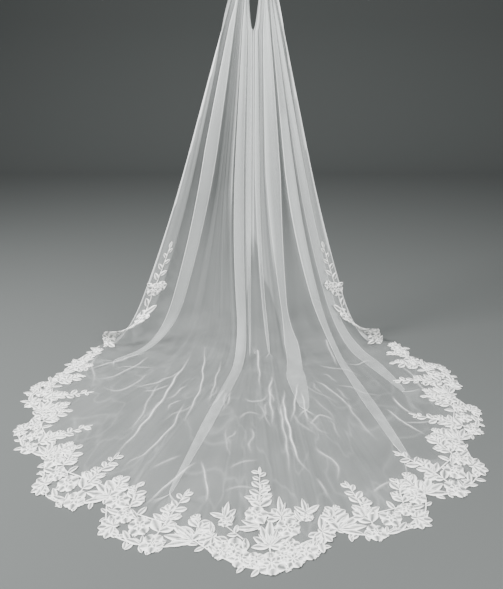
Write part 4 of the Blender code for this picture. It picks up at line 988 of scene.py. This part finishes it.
# %% Side motif
SIDE_CHORD, SIDE_DEPTH = 0.358, 0.118
MOTIF_CORNER = 0.69  # share of the chord at which the motif is deepest
SIDE_LACE = (
    # kind, along, inwards, heading, size, more
    ("leaf", 0.000, 0.000, 33, 0.066, 0.024),
    ("leaf", 0.000, 0.000, 11, 0.098, 0.025),
    ("leaf", 0.000, 0.000, -20, 0.090, 0.025),
    ("leaf", 0.000, 0.000, -47, 0.080, 0.022),
    ("leaf", -0.002, 0.002, 95, 0.050, 0.026),
    ("sprig", 0.004, 0.020, 62, 0.084, 2),
    ("bloom", 0.092, -0.070, 20, 0.036, 5),
    ("sprig", 0.104, -0.045, 76, 0.236, 5),
    ("leaf", 0.128, 0.010, 110, 0.066, 0.018),
    ("leaf", 0.118, 0.012, 8, 0.060, 0.024),
    ("bloom", 0.176, -0.041, 50, 0.036, 5),
    ("stem", 0.130, 0.006, -10, 0.110, 0.005),
    ("leaf", 0.215, -0.012, 88, 0.044, 0.017),
    ("leaf", 0.205, -0.022, 3, 0.078, 0.024),
    ("bloom", 0.248, -0.034, 0, 0.030, 5),
    ("bloom", 0.318, 0.002, 10, 0.037, 6),
    ("stem", 0.272, -0.020, 30, 0.045, 0.005),
    ("sprig", 0.258, -0.006, 60, 0.132, 3),
    ("leaf", 0.268, -0.036, -12, 0.046, 0.017),
    ("stem", 0.318, 0.002, 0, 0.045, 0.005),
    ("fan", 0.246, -0.082, -38, 0.046, 3),
    ("stem", 0.246, -0.086, 95, 0.045, 0.005),
    ("leaf", 0.120, -0.088, 52, 0.032, 0.012),
    ("leaf", 0.118, -0.088, -12, 0.060, 0.017),
    ("leaf", 0.160, -0.098, 22, 0.050, 0.017),
    ("leaf", 0.205, -0.098, -4, 0.036, 0.014),
    ("leaf", 0.062, -0.052, -62, 0.030, 0.014),
)

# %% Middle motif
MIDDLE_CHORD, MIDDLE_DEPTH = 0.463, 0.153
MIDDLE_LACE = (
    # kind, along, inwards, heading, size, more
    ("leaf", 0.235, -0.050, 101, 0.090, 0.024),
    ("leaf", 0.235, -0.050, 82, 0.117, 0.027),
    ("leaf", 0.235, -0.050, 58, 0.084, 0.025),
    ("leaf", 0.235, -0.050, 26, 0.088, 0.025),
    ("leaf", 0.235, -0.050, 137, 0.062, 0.025),
    ("leaf", 0.235, -0.050, 180, 0.056, 0.024),
    ("leaf", 0.235, -0.050, -20, 0.046, 0.020),
    ("stem", 0.235, -0.050, -92, 0.050, 0.006),
    ("bloom", 0.232, -0.122, 90, 0.044, 6),
    ("bloom", 0.186, -0.103, 30, 0.030, 5),
    ("bloom", 0.126, -0.050, 10, 0.042, 5),
    ("bud", 0.150, -0.098, 0, 0.017, 0),
    ("leaf", 0.100, -0.030, -64, 0.074, 0.022),
    ("leaf", 0.160, -0.060, 84, 0.050, 0.022),
    ("fan", 0.066, 0.006, -128, 0.045, 3),
    ("leaf", 0.062, 0.020, 92, 0.055, 0.022),
    ("fan", 0.405, -0.010, -60, 0.045, 3),
    ("leaf", 0.408, -0.005, 82, 0.075, 0.021),
    ("leaf", 0.372, -0.066, 60, 0.062, 0.030),
    ("leaf", 0.300, -0.086, 32, 0.080, 0.022),
    ("bloom", 0.294, -0.056, 0, 0.034, 5),
    ("bud", 0.314, -0.092, 0, 0.018, 0),
    ("bloom", 0.270, -0.097, 60, 0.028, 5),
    ("bloom", 0.303, 0.020, 12, 0.040, 6),
    ("fan", 0.290, 0.070, 84, 0.048, 3),
    ("leaf", 0.290, 0.080, 86, 0.094, 0.018),
    ("stem", 0.262, 0.020, 62, 0.070, 0.006),
    ("bloom", 0.209, 0.090, 80, 0.040, 5),
    ("leaf", 0.213, 0.030, 176, 0.080, 0.020),
    ("leaf", 0.213, 0.036, 147, 0.064, 0.020),
    ("stem", 0.212, 0.020, 90, 0.070, 0.006),
    ("sprig", 0.225, 0.110, 84, 0.232, 5),
    ("leaf", 0.232, 0.160, 155, 0.058, 0.022),
    ("leaf", 0.232, 0.160, 38, 0.052, 0.020),
    ("stem", 0.158, -0.014, 128, 0.078, 0.004),
    ("leaf", 0.142, 0.008, 178, 0.034, 0.016),
    ("leaf", 0.136, 0.018, 74, 0.034, 0.016),
    ("leaf", 0.122, 0.058, 80, 0.056, 0.013),
    ("bloom", 0.108, 0.068, 40, 0.022, 5),
    ("leaf", 0.112, 0.088, 152, 0.058, 0.021),
    ("leaf", 0.106, 0.090, 76, 0.076, 0.017),
    ("leaf", 0.112, 0.088, 48, 0.050, 0.020),
    ("stem", 0.322, 0.020, 52, 0.070, 0.006),
    ("leaf", 0.350, 0.046, 104, 0.056, 0.013),
    ("bloom", 0.372, 0.066, 20, 0.022, 5),
    ("leaf", 0.372, 0.080, 36, 0.062, 0.021),
    ("leaf", 0.374, 0.080, 92, 0.074, 0.017),
    ("leaf", 0.372, 0.080, 132, 0.050, 0.018),
    ("bloom", 0.088, -0.058, 0, 0.031, 5),
    ("bloom", 0.142, -0.092, 30, 0.037, 5),
    ("leaf", 0.050, -0.030, -60, 0.050, 0.022),
    ("leaf", 0.172, -0.116, -20, 0.052, 0.024),
    ("bloom", 0.342, -0.084, 10, 0.037, 5),
    ("bloom", 0.298, -0.112, 0, 0.034, 6),
    ("leaf", 0.392, -0.050, -88, 0.046, 0.022),
    ("leaf", 0.330, -0.070, 30, 0.060, 0.026),
)

# %% End motif and trail
END_CHORD, END_DEPTH = 0.294, 0.020
END_LACE = (
    # kind, along, inwards, heading, size, more
    ("leaf", 0.000, 0.006, 20, 0.070, 0.024),
    ("leaf", 0.000, 0.006, 48, 0.052, 0.022),
    ("leaf", 0.004, 0.006, -8, 0.056, 0.020),
    ("stem", 0.040, 0.010, 4, 0.230, 0.005),
    ("bloom", 0.078, 0.004, 10, 0.029, 5),
    ("sprig", 0.060, 0.014, 64, 0.080, 2),
    ("leaf", 0.090, 0.012, 44, 0.046, 0.020),
    ("bloom", 0.128, 0.018, 40, 0.028, 5),
    ("leaf", 0.140, 0.012, -20, 0.044, 0.018),
    ("leaf", 0.140, 0.018, 52, 0.044, 0.018),
    ("bloom", 0.188, 0.018, 0, 0.026, 5),
    ("leaf", 0.205, 0.022, 48, 0.042, 0.016),
    ("leaf", 0.215, 0.022, -14, 0.042, 0.016),
    ("bloom", 0.250, 0.022, 0, 0.022, 5),
)
TRAIL_LACE = (
    # kind, along, inwards, heading, size, more
    ("stem", -0.010, 0.022, 5, 0.330, 0.006),
    ("stem", 0.305, 0.048, -3, 0.250, 0.005),
    ("bloom", 0.000, 0.024, 0, 0.038, 5),
    ("bloom", 0.054, 0.036, 0, 0.036, 5),
    ("leaf", 0.026, 0.052, 76, 0.046, 0.025),
    ("leaf", 0.072, 0.024, -44, 0.050, 0.025),
    ("bloom", 0.110, 0.028, 20, 0.031, 5),
    ("leaf", 0.124, 0.046, 48, 0.048, 0.024),
    ("bud", 0.168, 0.036, 10, 0.017, 0),
    ("bloom", 0.214, 0.040, 50, 0.032, 5),
    ("leaf", 0.232, 0.034, -50, 0.042, 0.021),
    ("leaf", 0.254, 0.048, 44, 0.038, 0.018),
    ("bloom", 0.328, 0.046, 0, 0.036, 5),
    ("bloom", 0.350, 0.014, 0, 0.025, 5),
    ("leaf", 0.344, 0.060, 66, 0.036, 0.018),
    ("leaf", 0.380, 0.043, 40, 0.044, 0.020),
    ("leaf", 0.402, 0.042, -44, 0.040, 0.018),
    ("leaf", 0.434, 0.041, 42, 0.036, 0.017),
    ("leaf", 0.462, 0.039, -42, 0.032, 0.015),
    ("leaf", 0.492, 0.037, 38, 0.030, 0.014),
    ("leaf", 0.518, 0.035, -30, 0.028, 0.013),
    ("leaf", 0.540, 0.035, 0, 0.034, 0.013),
)

# %% [markdown]
# ## Laying the lace on the cloth
# On the train each chart is laid flat along its scallop, a little above the net. Its part outside
# the chord is stretched to the scallop's depth, and that of a side motif leans to its corner.
# A fine cord with small leaves runs along the whole hem and closes the spaces between the motifs.

# %% Border
LACE_Z = -DROP + 0.0026
EDGING_STEP = 0.008  # between points of the cord, every third of which has a leaf
EDGING_INSIDE = 0.010  # how far the cord lies inside the lace's outer edge
EDGING_HALF_WIDTH, EDGING_HEIGHT = 0.0022, 0.0018
CORNER_SHEAR = 0.45  # share of the corner's shift that the petals take


def joined(parts):
    """Points, quads and tones, with their painted shade, of many shapes as one."""
    sizes = np.cumsum([0] + [len(points) for points, _, _ in parts])
    points = np.concatenate([points for points, _, _ in parts])
    quads = np.concatenate([quads + start for (_, quads, _), start in zip(parts, sizes)])
    return points, quads, np.concatenate([tone_with_painted_shade for _, _, tone_with_painted_shade in parts])


def border_parts():
    """Every motif of the hem, laid on the floor."""
    laid = []
    for row in SCALLOPS:
        if row[0] == "middle":
            table, chord, depth = MIDDLE_LACE, MIDDLE_CHORD, MIDDLE_DEPTH
        elif row[0].endswith("5"):
            table, chord, depth = END_LACE, END_CHORD, END_DEPTH
        else:
            table, chord, depth = SIDE_LACE, SIDE_CHORD, SIDE_DEPTH
        cusp, along, inwards, length = scallop_frame(row)
        points, quads, tone_with_painted_shade = joined(shapes_of(table))
        x, y = points[:, 0], points[:, 1]
        below = y < 0
        if table is SIDE_LACE:
            shear = CORNER_SHEAR * (row[7] - MOTIF_CORNER) * chord / depth
            x = np.where(below, x - shear * y, x)
        y = np.where(below, y * row[8] / depth, y)
        on_floor = cusp + along * (x * length / chord)[:, None] + inwards * y[:, None]
        z = LACE_Z + points[:, 2] + 0.0006 * (len(laid) % 2)
        points = np.column_stack([on_floor, z])
        laid.append((points, facing_out(points, quads, UP), tone_with_painted_shade))
    return laid


def edging_parts():
    """Fine cord along the whole hem with small leaves off it, to both sides in turn, which closes
    the spaces between the motifs."""
    u = np.linspace(-1, 1, 4001)
    line = np.stack(hem_point(u, inside=EDGING_INSIDE), -1)
    passed = np.concatenate([[0], np.cumsum(np.linalg.norm(np.diff(line, axis=0), axis=-1))])
    at = np.arange(0.004, passed[-1], EDGING_STEP)
    path = np.stack([np.interp(at, passed, line[:, k]) for k in (0, 1)], -1)
    ahead = unit(np.gradient(path, axis=0))
    outwards = np.stack([ahead[:, 1], -ahead[:, 0]], -1)
    v = np.array([-1, -0.6, 0, 0.6, 1])
    cord = path[:, None] + outwards[:, None] * (EDGING_HALF_WIDTH * v[None, :, None])
    z = np.broadcast_to(EDGING_HEIGHT * np.sqrt(1 - v**2), cord.shape[:2])
    index = np.arange(z.size).reshape(z.shape)
    points = np.concatenate([cord, z[..., None]], -1).reshape(-1, 3)
    parts = [(points, grid_quads(index), np.full(z.size, 0.8))]
    for k in range(2, len(path) - 2, 3):
        heading = math.degrees(math.atan2(ahead[k, 1], ahead[k, 0]))
        lean = random.choice((-1, 1)) * random.uniform(18, 75) + 180 * (k % 2)
        size = random.uniform(0.024, 0.040)
        leaf_shape = blade(size, size * 0.48, tip=0.85, height=0.0028)
        parts.append(turned(leaf_shape, *path[k], heading + lean, -0.0003))
    points, quads, tone_with_painted_shade = joined(parts)
    points[:, 2] += LACE_Z
    return [(points, facing_out(points, quads, UP, each=True), tone_with_painted_shade)]


# %% [markdown]
# A trail climbs each side edge. Its chart's long way goes up the thread, and its short way across
# the turned strip, flat in the strip's own plane, so the trail follows the strip wherever it goes
# and its petals stand out a little past the edge.

# %% Trails
TRAIL_U = 0.974  # the thread that the trail's middle line follows
TRAIL_MIDDLE = 0.038  # place of that line in the trail's chart
TRAIL_SPREAD = 0.95  # the chart's short way is drawn in to this share
TRAIL_START = 0.025  # how far up the thread the chart's zero lies
TRAIL_ON_BEND = 0.30  # length of the chart that lies on the bend
TRAIL_FLAT = 0.8  # the trail's lace is pressed flatter by this share
TRAIL_CLEAR = 0.0012  # how far it lies off the net


def trail_parts(side):
    """The trail of one turned edge, centred on the turned strip and flat in its plane, so that petals
    stand out past the edge. It is embroidered through the net, so it shows on both faces."""
    points, quads, tone_with_painted_shade = joined(shapes_of(TRAIL_LACE))
    along = points[:, 0] + TRAIL_START
    on_bend = 2 - along / TRAIL_ON_BEND
    g = np.where(along < TRAIL_ON_BEND, on_bend, 1 - (along - TRAIL_ON_BEND) / BEND_DROP)
    threads = [np.full(len(g), side * u) for u in (EDGE_U + 0.012, TRAIL_U, 1.0)]
    fold, here, free = (cloth_point(u, side, g)[0] for u in threads)
    outwards = unit(fold - free)
    step = 2e-3
    down = cloth_point(threads[1], side, g + step)[0] - cloth_point(threads[1], side, g - step)[0]
    normal = unit(np.cross(down, outwards))
    here = here + outwards * (TRAIL_SPREAD * (points[:, 1:2] - TRAIL_MIDDLE))
    faces = []
    for face in (normal, -normal):
        laid = here + face * (points[:, 2:] * TRAIL_FLAT + TRAIL_CLEAR)
        laid[:, 2] = np.maximum(laid[:, 2], -DROP + 0.001)
        faces.append((laid, facing_out(laid, quads, face[quads[:, 0]]), tone_with_painted_shade))
    return faces


def make_lace(name, parts):
    """Lace mesh with each point's tone and painted shade, kept as the attribute raised, for the
    material.
    """
    points, quads, tone_with_painted_shade = joined(parts)
    lace = new_mesh(name, points, quads)
    # The attribute raised holds this tone with its painted shade.
    keep_values(lace, "raised", tone_with_painted_shade)
    print(name, len(points), "points", len(quads), "faces")
    return lace


lace_border = make_lace("veil_lace_border", border_parts() + edging_parts())
lace_trail_left = make_lace("veil_lace_trail_left", trail_parts(-1))
lace_trail_right = make_lace("veil_lace_trail_right", trail_parts(1))

# %% [markdown]
# ## Materials
# A short class wraps a node socket, so that shader maths reads like ordinary maths. Values go
# through Math nodes and colours through Mix nodes.

# %% Shader maths
MIX_FACTOR, MIX_FIRST, MIX_SECOND, MIX_RESULT = 0, 6, 7, 2  # sockets of a Mix node set to colour


class Value:
    """A socket that adds Math nodes when it is used in an expression."""

    def __init__(self, tree, socket):
        self.tree, self.socket = tree, socket

    def math(self, operation, *others):
        node = self.tree.nodes.new("ShaderNodeMath")
        node.operation = operation
        for entry, value in zip(node.inputs, (self, *others)):
            if isinstance(value, Value):
                self.tree.links.new(value.socket, entry)
            else:
                entry.default_value = value
        return Value(self.tree, node.outputs[0])

    def __add__(self, other):
        return self.math("ADD", other)

    def __mul__(self, other):
        return self.math("MULTIPLY", other)

    def __sub__(self, other):
        return self.math("SUBTRACT", other)

    def __rsub__(self, other):
        return (self * -1.0) + other

    def __pow__(self, other):
        return self.math("POWER", other)

    __radd__, __rmul__ = __add__, __mul__

    def clipped(self, most=1.0):
        return self.math("MAXIMUM", 0.0).math("MINIMUM", most)


class Finish:
    """A material with one Principled shader, and a method that makes any other node."""

    def __init__(self, name, colour, roughness, **fixed):
        self.material = bpy.data.materials.new(name)
        self.material.use_nodes = True
        self.tree = self.material.node_tree
        self.shader = self.tree.nodes["Principled BSDF"]
        self.put(self.shader, "Base Color", (*colour, 1))
        self.put(self.shader, "Roughness", roughness)
        for socket, value in fixed.items():
            self.put(self.shader, socket.replace("_", " "), value)

    def put(self, node, socket, value):
        if isinstance(value, Value):
            self.tree.links.new(value.socket, node.inputs[socket])
        else:
            node.inputs[socket].default_value = value

    def node(self, kind, output, settings=None, **sockets):
        made = self.tree.nodes.new(kind)
        for key, value in (settings or {}).items():
            setattr(made, key, value)
        for socket, value in sockets.items():
            self.put(made, socket.replace("_", " "), value)
        return Value(self.tree, made.outputs[output])

    def attribute(self, name, output="Fac"):
        return self.node("ShaderNodeAttribute", output, {"attribute_name": name})

    def object_place(self):
        return self.node("ShaderNodeTexCoord", "Object")

    def noise(self, where, scale, detail):
        return self.node("ShaderNodeTexNoise", "Fac", Vector=where, Scale=scale, Detail=detail)

    def mixed(self, factor, first, second):
        made = self.tree.nodes.new("ShaderNodeMix")
        made.data_type = "RGBA"
        self.put(made, MIX_FACTOR, factor)
        self.put(made, MIX_FIRST, (*first, 1))
        self.put(made, MIX_SECOND, (*second, 1))
        return Value(self.tree, made.outputs[MIX_RESULT])

    def bumped(self, height, strength, distance):
        sockets = {"Height": height, "Strength": strength, "Distance": distance}
        normal = self.node("ShaderNodeBump", "Normal", **sockets)
        self.put(self.shader, "Normal", normal)


# %% [markdown]
# Tulle hides a little of what is behind it. One layer hides about a thirteenth, and more where the
# net is creased, gathered or thick with pleats. So its alpha rises with the numbers kept on the
# mesh. Noises on the thread's flat place make it uneven: a cloudy one for the way soft net bunches
# up, streaks and pleats that run down the cloth, and fine wrinkles on the train.

# %% Tulle
LAYER = 0.075  # share of what is behind it that one layer of net hides
tulle_finish = Finish("sheer_tulle", (0.86, 0.88, 0.87), 0.75, Sheen_Weight=0.3)
creased = tulle_finish.attribute("creased")
gathered = tulle_finish.attribute("gathered")
thick = tulle_finish.attribute("thick")
thread_place = tulle_finish.attribute("thread", "Vector")


def along_threads(across, down):
    """The thread's place, stretched so that a noise on it runs along the cloth."""
    stretch = (across, down, 1)
    return tulle_finish.node("ShaderNodeMapping", "Vector", Vector=thread_place, Scale=stretch)


cloudy = tulle_finish.noise(thread_place, 5.0, 4.0)
streaky = tulle_finish.noise(along_threads(60.0, 1.5), 1.0, 3.0)
veined = tulle_finish.noise(along_threads(7.0, 3.2), 1.0, 2.0)
wrinkle = (1.0 - (veined - 0.5).math("ABSOLUTE") * 22.0).clipped() ** 2.0
down_place = tulle_finish.node("ShaderNodeSeparateXYZ", "Y", Vector=thread_place)
on_train = ((down_place - 1.6) * 1.4).clipped()
pleated = tulle_finish.noise(along_threads(24.0, 0.6), 1.0, 2.0)
uneven = (cloudy - 0.5) * 0.11 + (streaky - 0.5) * 0.09 + wrinkle * cloudy * on_train * 0.12
uneven = uneven + (pleated - 0.5) * (thick * 1.8 + 0.06)
alpha = (LAYER + thick + uneven + creased * 0.50 + gathered * 0.12).clipped(0.95)
tulle_finish.put(tulle_finish.shader, "Alpha", alpha)
# The net is coloured whiter where it is creased: a painted highlight on the bright line at each fold's
# turn and along the turned edges.
painted_turn_highlight = tulle_finish.mixed(creased, (0.84, 0.87, 0.86), (0.97, 0.98, 0.97))
tulle_finish.put(tulle_finish.shader, "Base Color", painted_turn_highlight)
tulle_finish.bumped(streaky * 0.6 + cloudy * 0.4, 0.2, 0.002)
tulle.data.materials.append(tulle_finish.material)

# %% Pinched lines
# The pinched lines are coloured whiter than the sheet, a painted highlight along each crease, and their
# alpha carries the painted light of the soft shoulder.
pinch_finish = Finish("pinched_tulle", (0.95, 0.96, 0.95), 0.7, Sheen_Weight=0.3)
pinch_place = pinch_finish.object_place()
pinch_noise = pinch_finish.noise(pinch_place, 24.0, 2.0)
pinched = pinch_finish.attribute("creased") * (pinch_noise + 0.45)
pinch_finish.put(pinch_finish.shader, "Alpha", pinched.clipped(0.9))
pinch_finish.bumped(pinch_noise, 0.1, 0.001)
creases.data.materials.append(pinch_finish.material)

# %% [markdown]
# Lace is ivory. Its colour is brighter on its raised cords and petal rims, which are denser and also
# carry a painted highlight, and darker in its veins and at the petals' bases, which is painted shade
# in those hollows. It is worked more thinly in some places than in others. Fine noise in the bump
# stands for the satin stitches.

# %% Lace
lace_finish = Finish("corded_lace", (0.93, 0.93, 0.90), 0.62, Sheen_Weight=0.25)
# The attribute raised is the lace tone with painted shade in the veins and at the petals' bases; the
# dark colour of the mix is that painted shade.
raised = lace_finish.attribute("raised")
lace_place = lace_finish.object_place()
stitches = lace_finish.noise(lace_place, 420.0, 2.0)
patchy = lace_finish.noise(lace_place, 60.0, 2.0)
tone = (raised * 1.35 + patchy * 0.50 - 0.42).clipped()
lace_colour = lace_finish.mixed(tone, (0.13, 0.138, 0.135), (1.0, 1.0, 0.97))
lace_finish.put(lace_finish.shader, "Base Color", lace_colour)
lace_finish.bumped(stitches * 0.6 + patchy * 0.4, 0.5, 0.002)
for piece in (lace_border, lace_trail_left, lace_trail_right):
    piece.data.materials.append(lace_finish.material)

# %% [markdown]
# ## Comb and headers
# The gathered top is caught in a narrow tape folded over it, and the tape is whipped to the comb's
# spine with thread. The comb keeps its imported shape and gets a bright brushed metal.

# %% Comb
comb_finish = Finish("comb_metal", (0.80, 0.80, 0.82), 0.26, Metallic=1.0)
comb_place = comb_finish.object_place()
brushed = comb_finish.noise(comb_place, 900.0, 2.0)
comb_finish.put(comb_finish.shader, "Roughness", brushed * 0.18 + 0.18)
comb_finish.bumped(brushed, 0.08, 0.0004)
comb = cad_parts["comb"]
for slot in comb.material_slots:
    slot.material = comb_finish.material

# %% Header tape
TAPE_SPARE = 0.0012  # how far the tape stands out past each end of its bunch
TAPE_DEPTH = 0.0021  # half its depth over all
TAPE_TOP, TAPE_BOTTOM = 0.0012, -0.0103
TAPE_WALL = 0.0005
PUCKER, PUCKER_STEP = 0.00022, 0.0031  # height of the tape's ripple, and the length of one wave


def make_header(name, side):
    """Puckered tape folded over one bunch: an upside-down U swept along x, whose height and depth
    ripple with the gathers under it."""
    x = np.linspace(BUNCH_INNER - TAPE_SPARE, BUNCH_OUTER + TAPE_SPARE, 61) * side
    turn = np.linspace(0, np.pi, 9)
    arch_z = TAPE_TOP - TAPE_DEPTH * 0.6 + TAPE_DEPTH * 0.6 * np.sin(turn)
    arch = np.stack([-TAPE_DEPTH * np.cos(turn), arch_z], -1)
    legs = np.linspace(TAPE_BOTTOM, arch[0, 1], 7)[:-1]
    front = np.stack([np.full(6, -TAPE_DEPTH), legs], -1)
    back = np.stack([np.full(6, TAPE_DEPTH), legs[::-1]], -1)
    profile = np.concatenate([front, arch, back])
    grid_x, k = np.meshgrid(x, np.arange(len(profile)), indexing="ij")
    pucker = PUCKER * np.sin(grid_x * 2 * np.pi / PUCKER_STEP) * np.sin(np.pi * k / (len(profile) - 1))
    y = HANG_Y + profile[k, 0] + np.sign(profile[k, 0]) * pucker
    z = profile[k, 1] + pucker
    points = np.stack([grid_x, y, z], -1).reshape(-1, 3)
    quads = grid_quads(np.arange(len(points)).reshape(grid_x.shape))
    crown = quads[points[quads].mean(1)[:, 2] > 0]
    faces_up = np.array_equal(facing_out(points, crown, UP), crown)
    header = new_mesh(name, points, quads if faces_up else quads[:, ::-1])
    wall = header.modifiers.new("tape", "SOLIDIFY")
    wall.thickness, wall.offset = TAPE_WALL, -1
    return header


# %% Whipping thread
WHIP_TURNS, WHIP_STEPS, WHIP_SIDES = 9, 24, 8  # turns, steps in a turn, and sides of the thread
WHIP_Y, WHIP_Z = -0.0024, -0.0005  # middle of the turns, between the tape and the spine
WHIP_RADIUS, WHIP_THREAD = 0.0052, 0.00035  # radius of the turns and of the thread itself
WHIP_INSIDE = 0.001  # how far inside the bunch's ends the first and last turn lie


def make_whipping(name, side):
    """Thread wound round the spine and the tape: a small circle carried along a spiral about x."""
    t = np.linspace(0, 1, WHIP_TURNS * WHIP_STEPS + 1)
    x = side * (BUNCH_INNER + WHIP_INSIDE + (BUNCH_OUTER - BUNCH_INNER - 2 * WHIP_INSIDE) * t)
    angle = 2 * np.pi * WHIP_TURNS * t
    y, z = WHIP_Y + WHIP_RADIUS * np.cos(angle), WHIP_Z + WHIP_RADIUS * np.sin(angle)
    path = np.stack([x, y, z], -1)
    ahead = unit(np.gradient(path, axis=0))
    outwards = np.stack([np.zeros_like(t), np.cos(angle), np.sin(angle)], -1)
    sideways = np.cross(ahead, outwards)
    around = np.linspace(0, 2 * np.pi, WHIP_SIDES + 1)[:-1]
    offset = outwards[:, None] * np.cos(around)[:, None] + sideways[:, None] * np.sin(around)[:, None]
    points = (path[:, None] + WHIP_THREAD * offset).reshape(-1, 3)
    index = np.arange(len(points)).reshape(len(t), WHIP_SIDES)
    after = np.roll(index, -1, axis=1)
    quads = np.stack([index[:-1], index[1:], after[1:], after[:-1]], -1).reshape(-1, 4)
    return new_mesh(name, points, quads)


# %% Tape and thread finishes
tape_finish = Finish("satin_tape", (0.90, 0.90, 0.87), 0.38, Sheen_Weight=0.2)
ribs = tape_finish.node(
    "ShaderNodeTexWave",
    "Fac",
    {"bands_direction": "X"},
    Vector=tape_finish.object_place(),
    Scale=420.0,
    Distortion=1.0,
)
tape_colour = tape_finish.mixed(ribs, (0.84, 0.84, 0.80), (0.94, 0.94, 0.91))
tape_finish.put(tape_finish.shader, "Base Color", tape_colour)
tape_finish.bumped(ribs, 0.25, 0.0003)
thread_finish = Finish("sewing_thread", (0.88, 0.88, 0.84), 0.6)
twist = thread_finish.noise(thread_finish.object_place(), 2500.0, 1.0)
thread_colour = thread_finish.mixed(twist, (0.78, 0.78, 0.74), (0.94, 0.94, 0.91))
thread_finish.put(thread_finish.shader, "Base Color", thread_colour)

headers = [make_header("veil_header_left", -1), make_header("veil_header_right", 1)]
whippings = [make_whipping("veil_whipping_left", -1), make_whipping("veil_whipping_right", 1)]
for piece in headers:
    piece.data.materials.append(tape_finish.material)
for piece in whippings:
    piece.data.materials.append(thread_finish.material)
print("header faces", len(headers[0].data.polygons))
print("whipping faces", len(whippings[0].data.polygons))

# %% [markdown]
# ## What each piece stands for
# Each piece rides on the part's one body and hides the solid that it dresses. The tulle was cut
# with side edges of 2.0 m and a rounded end 3.05 m from the comb.

# %% Pieces on the frame
for piece, node, slot in (
    (tulle, "tulle", "tulle"),
    (lace_border, "lace_border", "lace"),
    (lace_trail_left, "lace_trail_left", "lace"),
    (lace_trail_right, "lace_trail_right", "lace"),
    (headers[0], "header_left", "header_tape"),
    (headers[1], "header_right", "header_tape"),
):
    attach(piece, "root")
    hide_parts(node)
for piece in whippings:
    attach(piece, "root")
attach(creases, "root")

# %% [markdown]
# ## Floor, light and camera
# The veil lies on a plain floor that curves up far behind it, as a paper roll does in a studio. It
# is lit pale but kept grey, so that the white net and the lace stand out against it.

# %% Floor
FLOOR_HALF_WIDTH, FLOOR_NEAR, FLOOR_HEIGHT = 9.0, -9.0, 9.0
CURVE_START, CURVE_RADIUS = 4.2, 1.6


def make_floor():
    """Seamless floor: flat, then a quarter circle far behind the veil, then upright."""
    turn = np.linspace(0, np.pi / 2, 25)
    far = CURVE_START + CURVE_RADIUS
    y = np.concatenate([[FLOOR_NEAR], CURVE_START + CURVE_RADIUS * np.sin(turn), [far]])
    z = -DROP + np.concatenate([[0.0], CURVE_RADIUS * (1 - np.cos(turn)), [FLOOR_HEIGHT]])
    x = np.array([-FLOOR_HALF_WIDTH, FLOOR_HALF_WIDTH])
    grid_x, k = np.meshgrid(x, np.arange(len(y)), indexing="ij")
    points = np.stack([grid_x, y[k], z[k]], -1).reshape(-1, 3)
    index = np.arange(len(points)).reshape(grid_x.shape)
    return new_mesh("studio_floor", points, grid_quads(index))


floor_finish = Finish("studio_paper", (0.082, 0.088, 0.086), 0.9)
studio_floor = make_floor()
studio_floor.data.materials.append(floor_finish.material)

# %% [markdown]
# Soft light comes from the upper left, so the creases catch it and the lace throws small shadows. A
# larger and weaker light from the right fills the shadows, and one from above and behind outlines
# the hanging cloth. The world adds an even light from all round.

# %% Lights


def soft_light(name, place, target, size, power):
    """Square area light that looks from its place at a target."""
    light = bpy.data.lights.new(name, "AREA")
    light.size, light.energy = size, power
    lamp = bpy.data.objects.new(name, light)
    away = np.array(place) - np.array(target)
    lamp.location = place
    yaw = math.atan2(away[0], -away[1])
    tilt = math.acos(away[2] / np.linalg.norm(away))
    lamp.rotation_euler = (tilt, 0, yaw)
    bpy.context.scene.collection.objects.link(lamp)


soft_light("key", (-2.6, -1.2, 1.3), (0, -0.6, -1.4), 1.1, 350)
soft_light("fill", (1.8, -3.6, 0.6), (0, -0.2, -1.0), 2.2, 235)
soft_light("top", (0.3, 0.6, 2.4), (0, -0.6, -1.75), 2.0, 110)
world = bpy.data.worlds.new("studio")
world.use_nodes = True
sky = world.node_tree.nodes["Background"]
sky.inputs["Color"].default_value = (0.80, 0.84, 0.84, 1)
sky.inputs["Strength"].default_value = 0.52
bpy.context.scene.world = world

# %% Camera
lens = bpy.data.cameras.new("camera")
lens.sensor_width = 36.0
lens.lens = FOCAL * lens.sensor_width / IMAGE_HEIGHT
camera = bpy.data.objects.new("camera", lens)
camera.location = EYE
camera.rotation_euler = (math.pi / 2 - PITCH, 0, 0)
bpy.context.scene.collection.objects.link(camera)
bpy.context.scene.camera = camera
